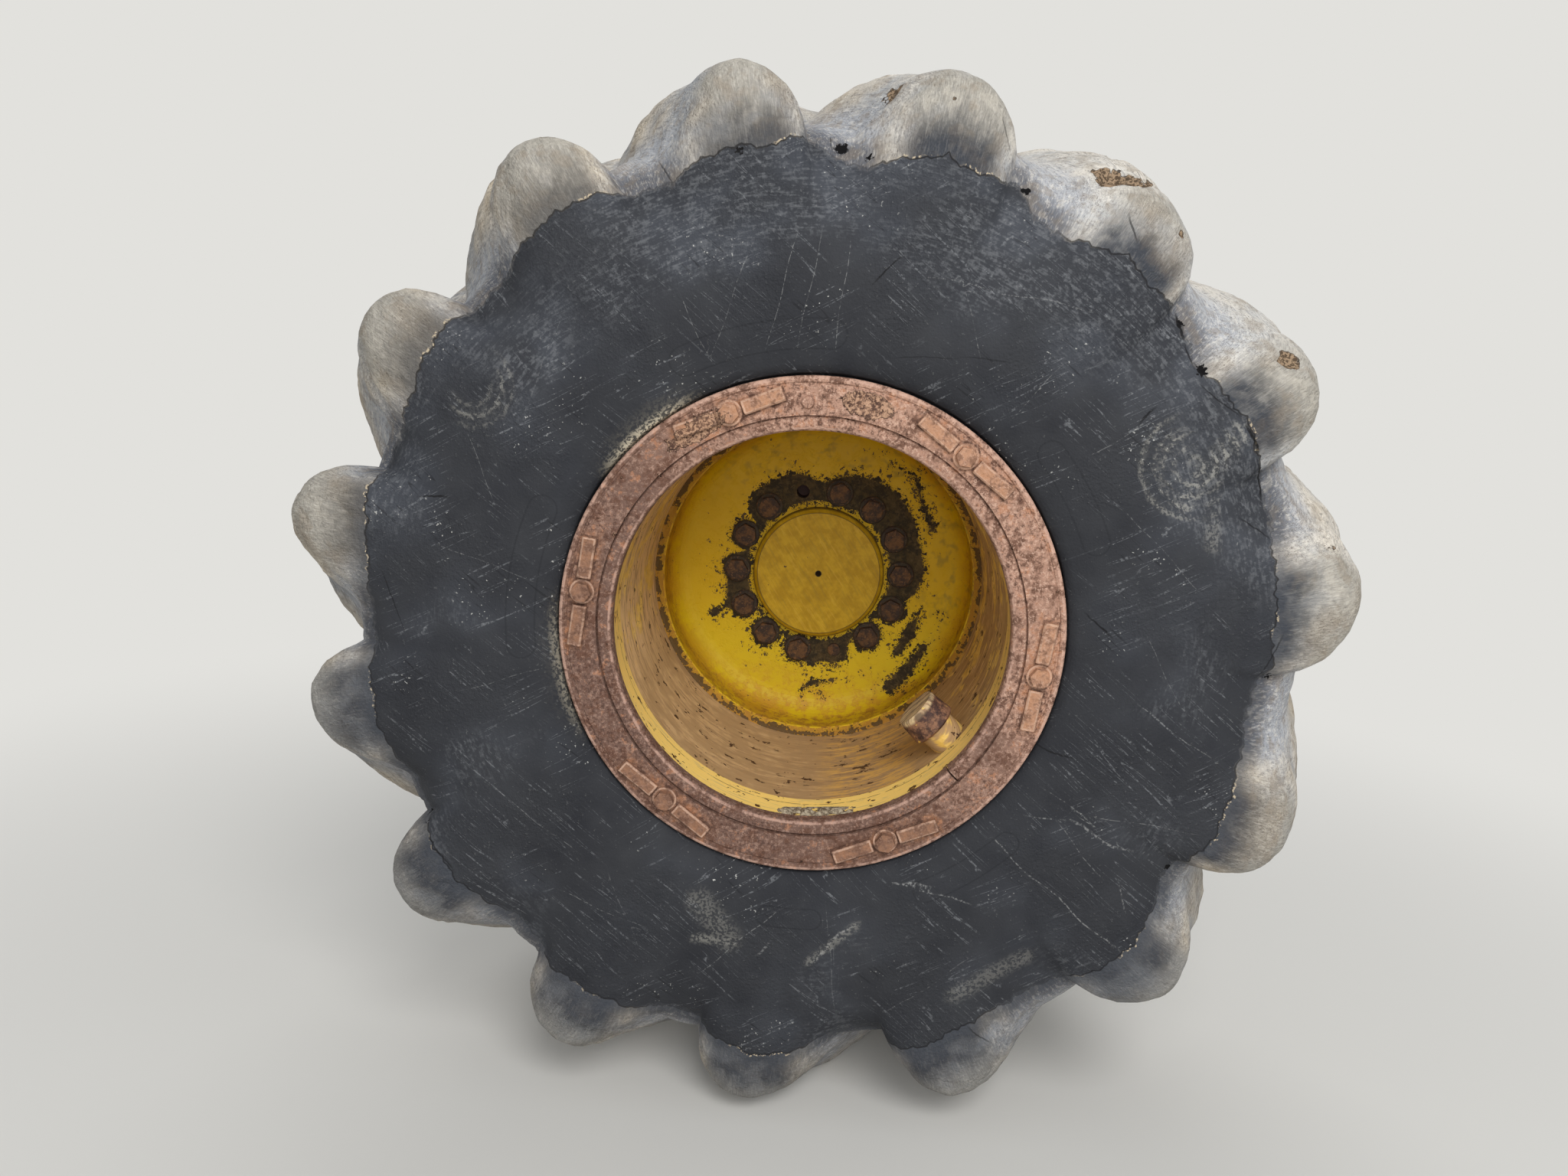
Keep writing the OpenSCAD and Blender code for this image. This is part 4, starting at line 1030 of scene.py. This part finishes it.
def bolt_iron(name, seed, dark=0.0):
    s = Shader(name)
    mid = s.noise(60, 3, 0.7, seed=seed)
    fine = s.noise(210, 2, 0.7, seed=seed + 2)
    light, grimy = rgb(92, 62, 32), rgb(60, 50, 34)
    light = tuple(a * (1 - dark) + b * dark for a, b in zip(light, grimy))
    colour = s.coat(
        s.mix(s.ramp(mid, 0.36, 0.6), light, rgb(50, 36, 26)),
        (s.ramp(fine, 0.56, 0.68, 0, 0.5), 132, 92, 56),
        (s.ramp(mid, 0.715, 0.74, 0, 0.7), 150, 116, 34))
    return s.finish(colour, 0.72, 0.35, s.add(s.mul(mid, 0.6), s.mul(fine, 0.5)), 0.0018)


def axle_black():
    s = Shader("axle_black")
    mid = s.noise(26, 3, 0.68, seed=201)
    fine = s.noise(150, 2, 0.7, seed=203)
    dust = s.ramp(s.add(mid, s.mul(s.z, 0.35)), 0.48, 0.7, 0, 0.75)
    chip = s.ramp(s.add(mid, s.mul(fine, 0.3)), 0.84, 0.86)
    colour = s.coat(
        rgb(40, 40, 41),
        (mid, 60, 58, 56),
        (dust, 132, 120, 102),
        (chip, 116, 72, 46))
    height = s.add(s.mul(s.flip(chip), 0.5), s.add(s.mul(mid, 0.4), s.mul(fine, 0.3)))
    return s.finish(colour, s.add(0.5, s.mul(dust, 0.35)), 0.4, height, 0.0018)


def cap_rust():
    s = Shader("valve_cap_rust")
    mid = s.noise(44, 3, 0.72, seed=221)
    fine = s.noise(160, 2, 0.7, seed=226)
    across = s.vector(s.mul(s.x, 18), s.mul(s.y, 160), s.mul(s.z, 18))
    rubbed = s.ramp(s.noise(1.0, 2, 0.7, place=across, seed=224), 0.42, 0.58, 0.2, 0.9)
    colour = s.coat(
        rgb(138, 100, 76),
        (s.ramp(mid, 0.38, 0.58), 70, 48, 42),
        (s.ramp(fine, 0.54, 0.66, 0, 0.6), 44, 32, 30),
        (s.ramp(mid, 0.34, 0.31), 220, 184, 84),
        (s.mul(s.ramp(s.radius, 0.279, 0.272), rubbed), 206, 182, 140))
    return s.finish(colour, 0.7, 0.35, s.add(s.mul(mid, 0.7), s.mul(fine, 0.4)), 0.0026)


def weld_paint():
    s = Shader("weld_paint")
    mid = s.noise(52, 3, 0.75, seed=181)
    off_line = s.absolute(s.sub(s.radius, WELD_LINE))
    dark = s.ramp(s.add(s.sway(mid, 0.075), off_line), 0.006, 0.003)
    colour = s.coat(
        rgb(190, 148, 30),
        (s.ramp(mid, 0.4, 0.6), 160, 114, 36),
        (s.mul(dark, 0.9), 64, 44, 26))
    return s.finish(colour, 0.7, 0.3, s.add(mid, s.mul(dark, -0.4)), 0.002)


for names, material in (
    ("side_ring clamp_bars clamp_bolts ring_plug lock_ring", rusty_ring()),
    ("gutter_band", gutter_paint()),
    ("centre_band", barrel_paint("barrel_paint", 121, 0.58)),
    ("wheel_disc", disc_paint()),
    ("wheel_hub", boss_paint()),
    ("disc_weld", weld_paint()),
    ("back_section", barrel_paint("back_paint", 191, 0.66)),
    ("valve_base", barrel_paint("base_paint", 196, 0.8)),
    ("valve_cap", cap_rust()),
    ("wheel_bolts broken_bolt", bolt_iron("bolt_rust", 211)),
    ("wheel_washers", bolt_iron("washer_rust", 231, 1.0)),
    ("axle_shaft", bolt_iron("shaft_iron", 241, 0.3)),
    ("axle_housing bearing_retainer", axle_black()),
    ("retainer_bolts", bolt_iron("small_bolts", 251, 0.3)),
    ("housing_plug", bolt_iron("plug_iron", 261, 0.3)),
):
    for name in names.split():
        nodes[name].data.materials.clear()
        nodes[name].data.materials.append(material)


# ---------- dried mud inside the rim

def dried_mud():
    """Lumps that lie on the inside of the gutter band, low in the rim."""
    band_radius, mid_clock, mid_inset, sunk = 352.0, 175, 66, -2.0
    clocks, insets = np.linspace(160, 190, 100), np.linspace(38, 108, 30)
    verts = []
    for inset in insets:
        for clock in clocks:
            lumps = noise.fractal(on_wheel(clock, band_radius, inset) * 55, 1.0, 2.1, 4)
            off = (inset - mid_inset + 12 * lumps) / 34
            reach = max(0.0, 1 - ((clock - mid_clock) / 14) ** 2 - off ** 2)
            height = sunk + 13.0 * reach ** 0.7 * (0.45 + 0.8 * lumps)
            verts.append(on_wheel(clock, band_radius - max(height, sunk), inset))
    wide = len(clocks)
    faces = [(i, i + 1, i + wide + 1, i + wide)
             for i in range(len(verts) - wide) if (i + 1) % wide]
    obj = new_object("dried_mud", verts, faces)
    s = Shader("dried_mud")
    mid = s.noise(120, 3, 0.75, seed=301)
    colour = s.coat(
        rgb(96, 82, 66),
        (s.ramp(mid, 0.38, 0.6), 176, 164, 142),
        (s.ramp(mid, 0.62, 0.7), 206, 196, 172))
    obj.data.materials.append(s.finish(colour, 0.9, 0.2, mid, 0.002))
    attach(obj, "wheel")


dried_mud()
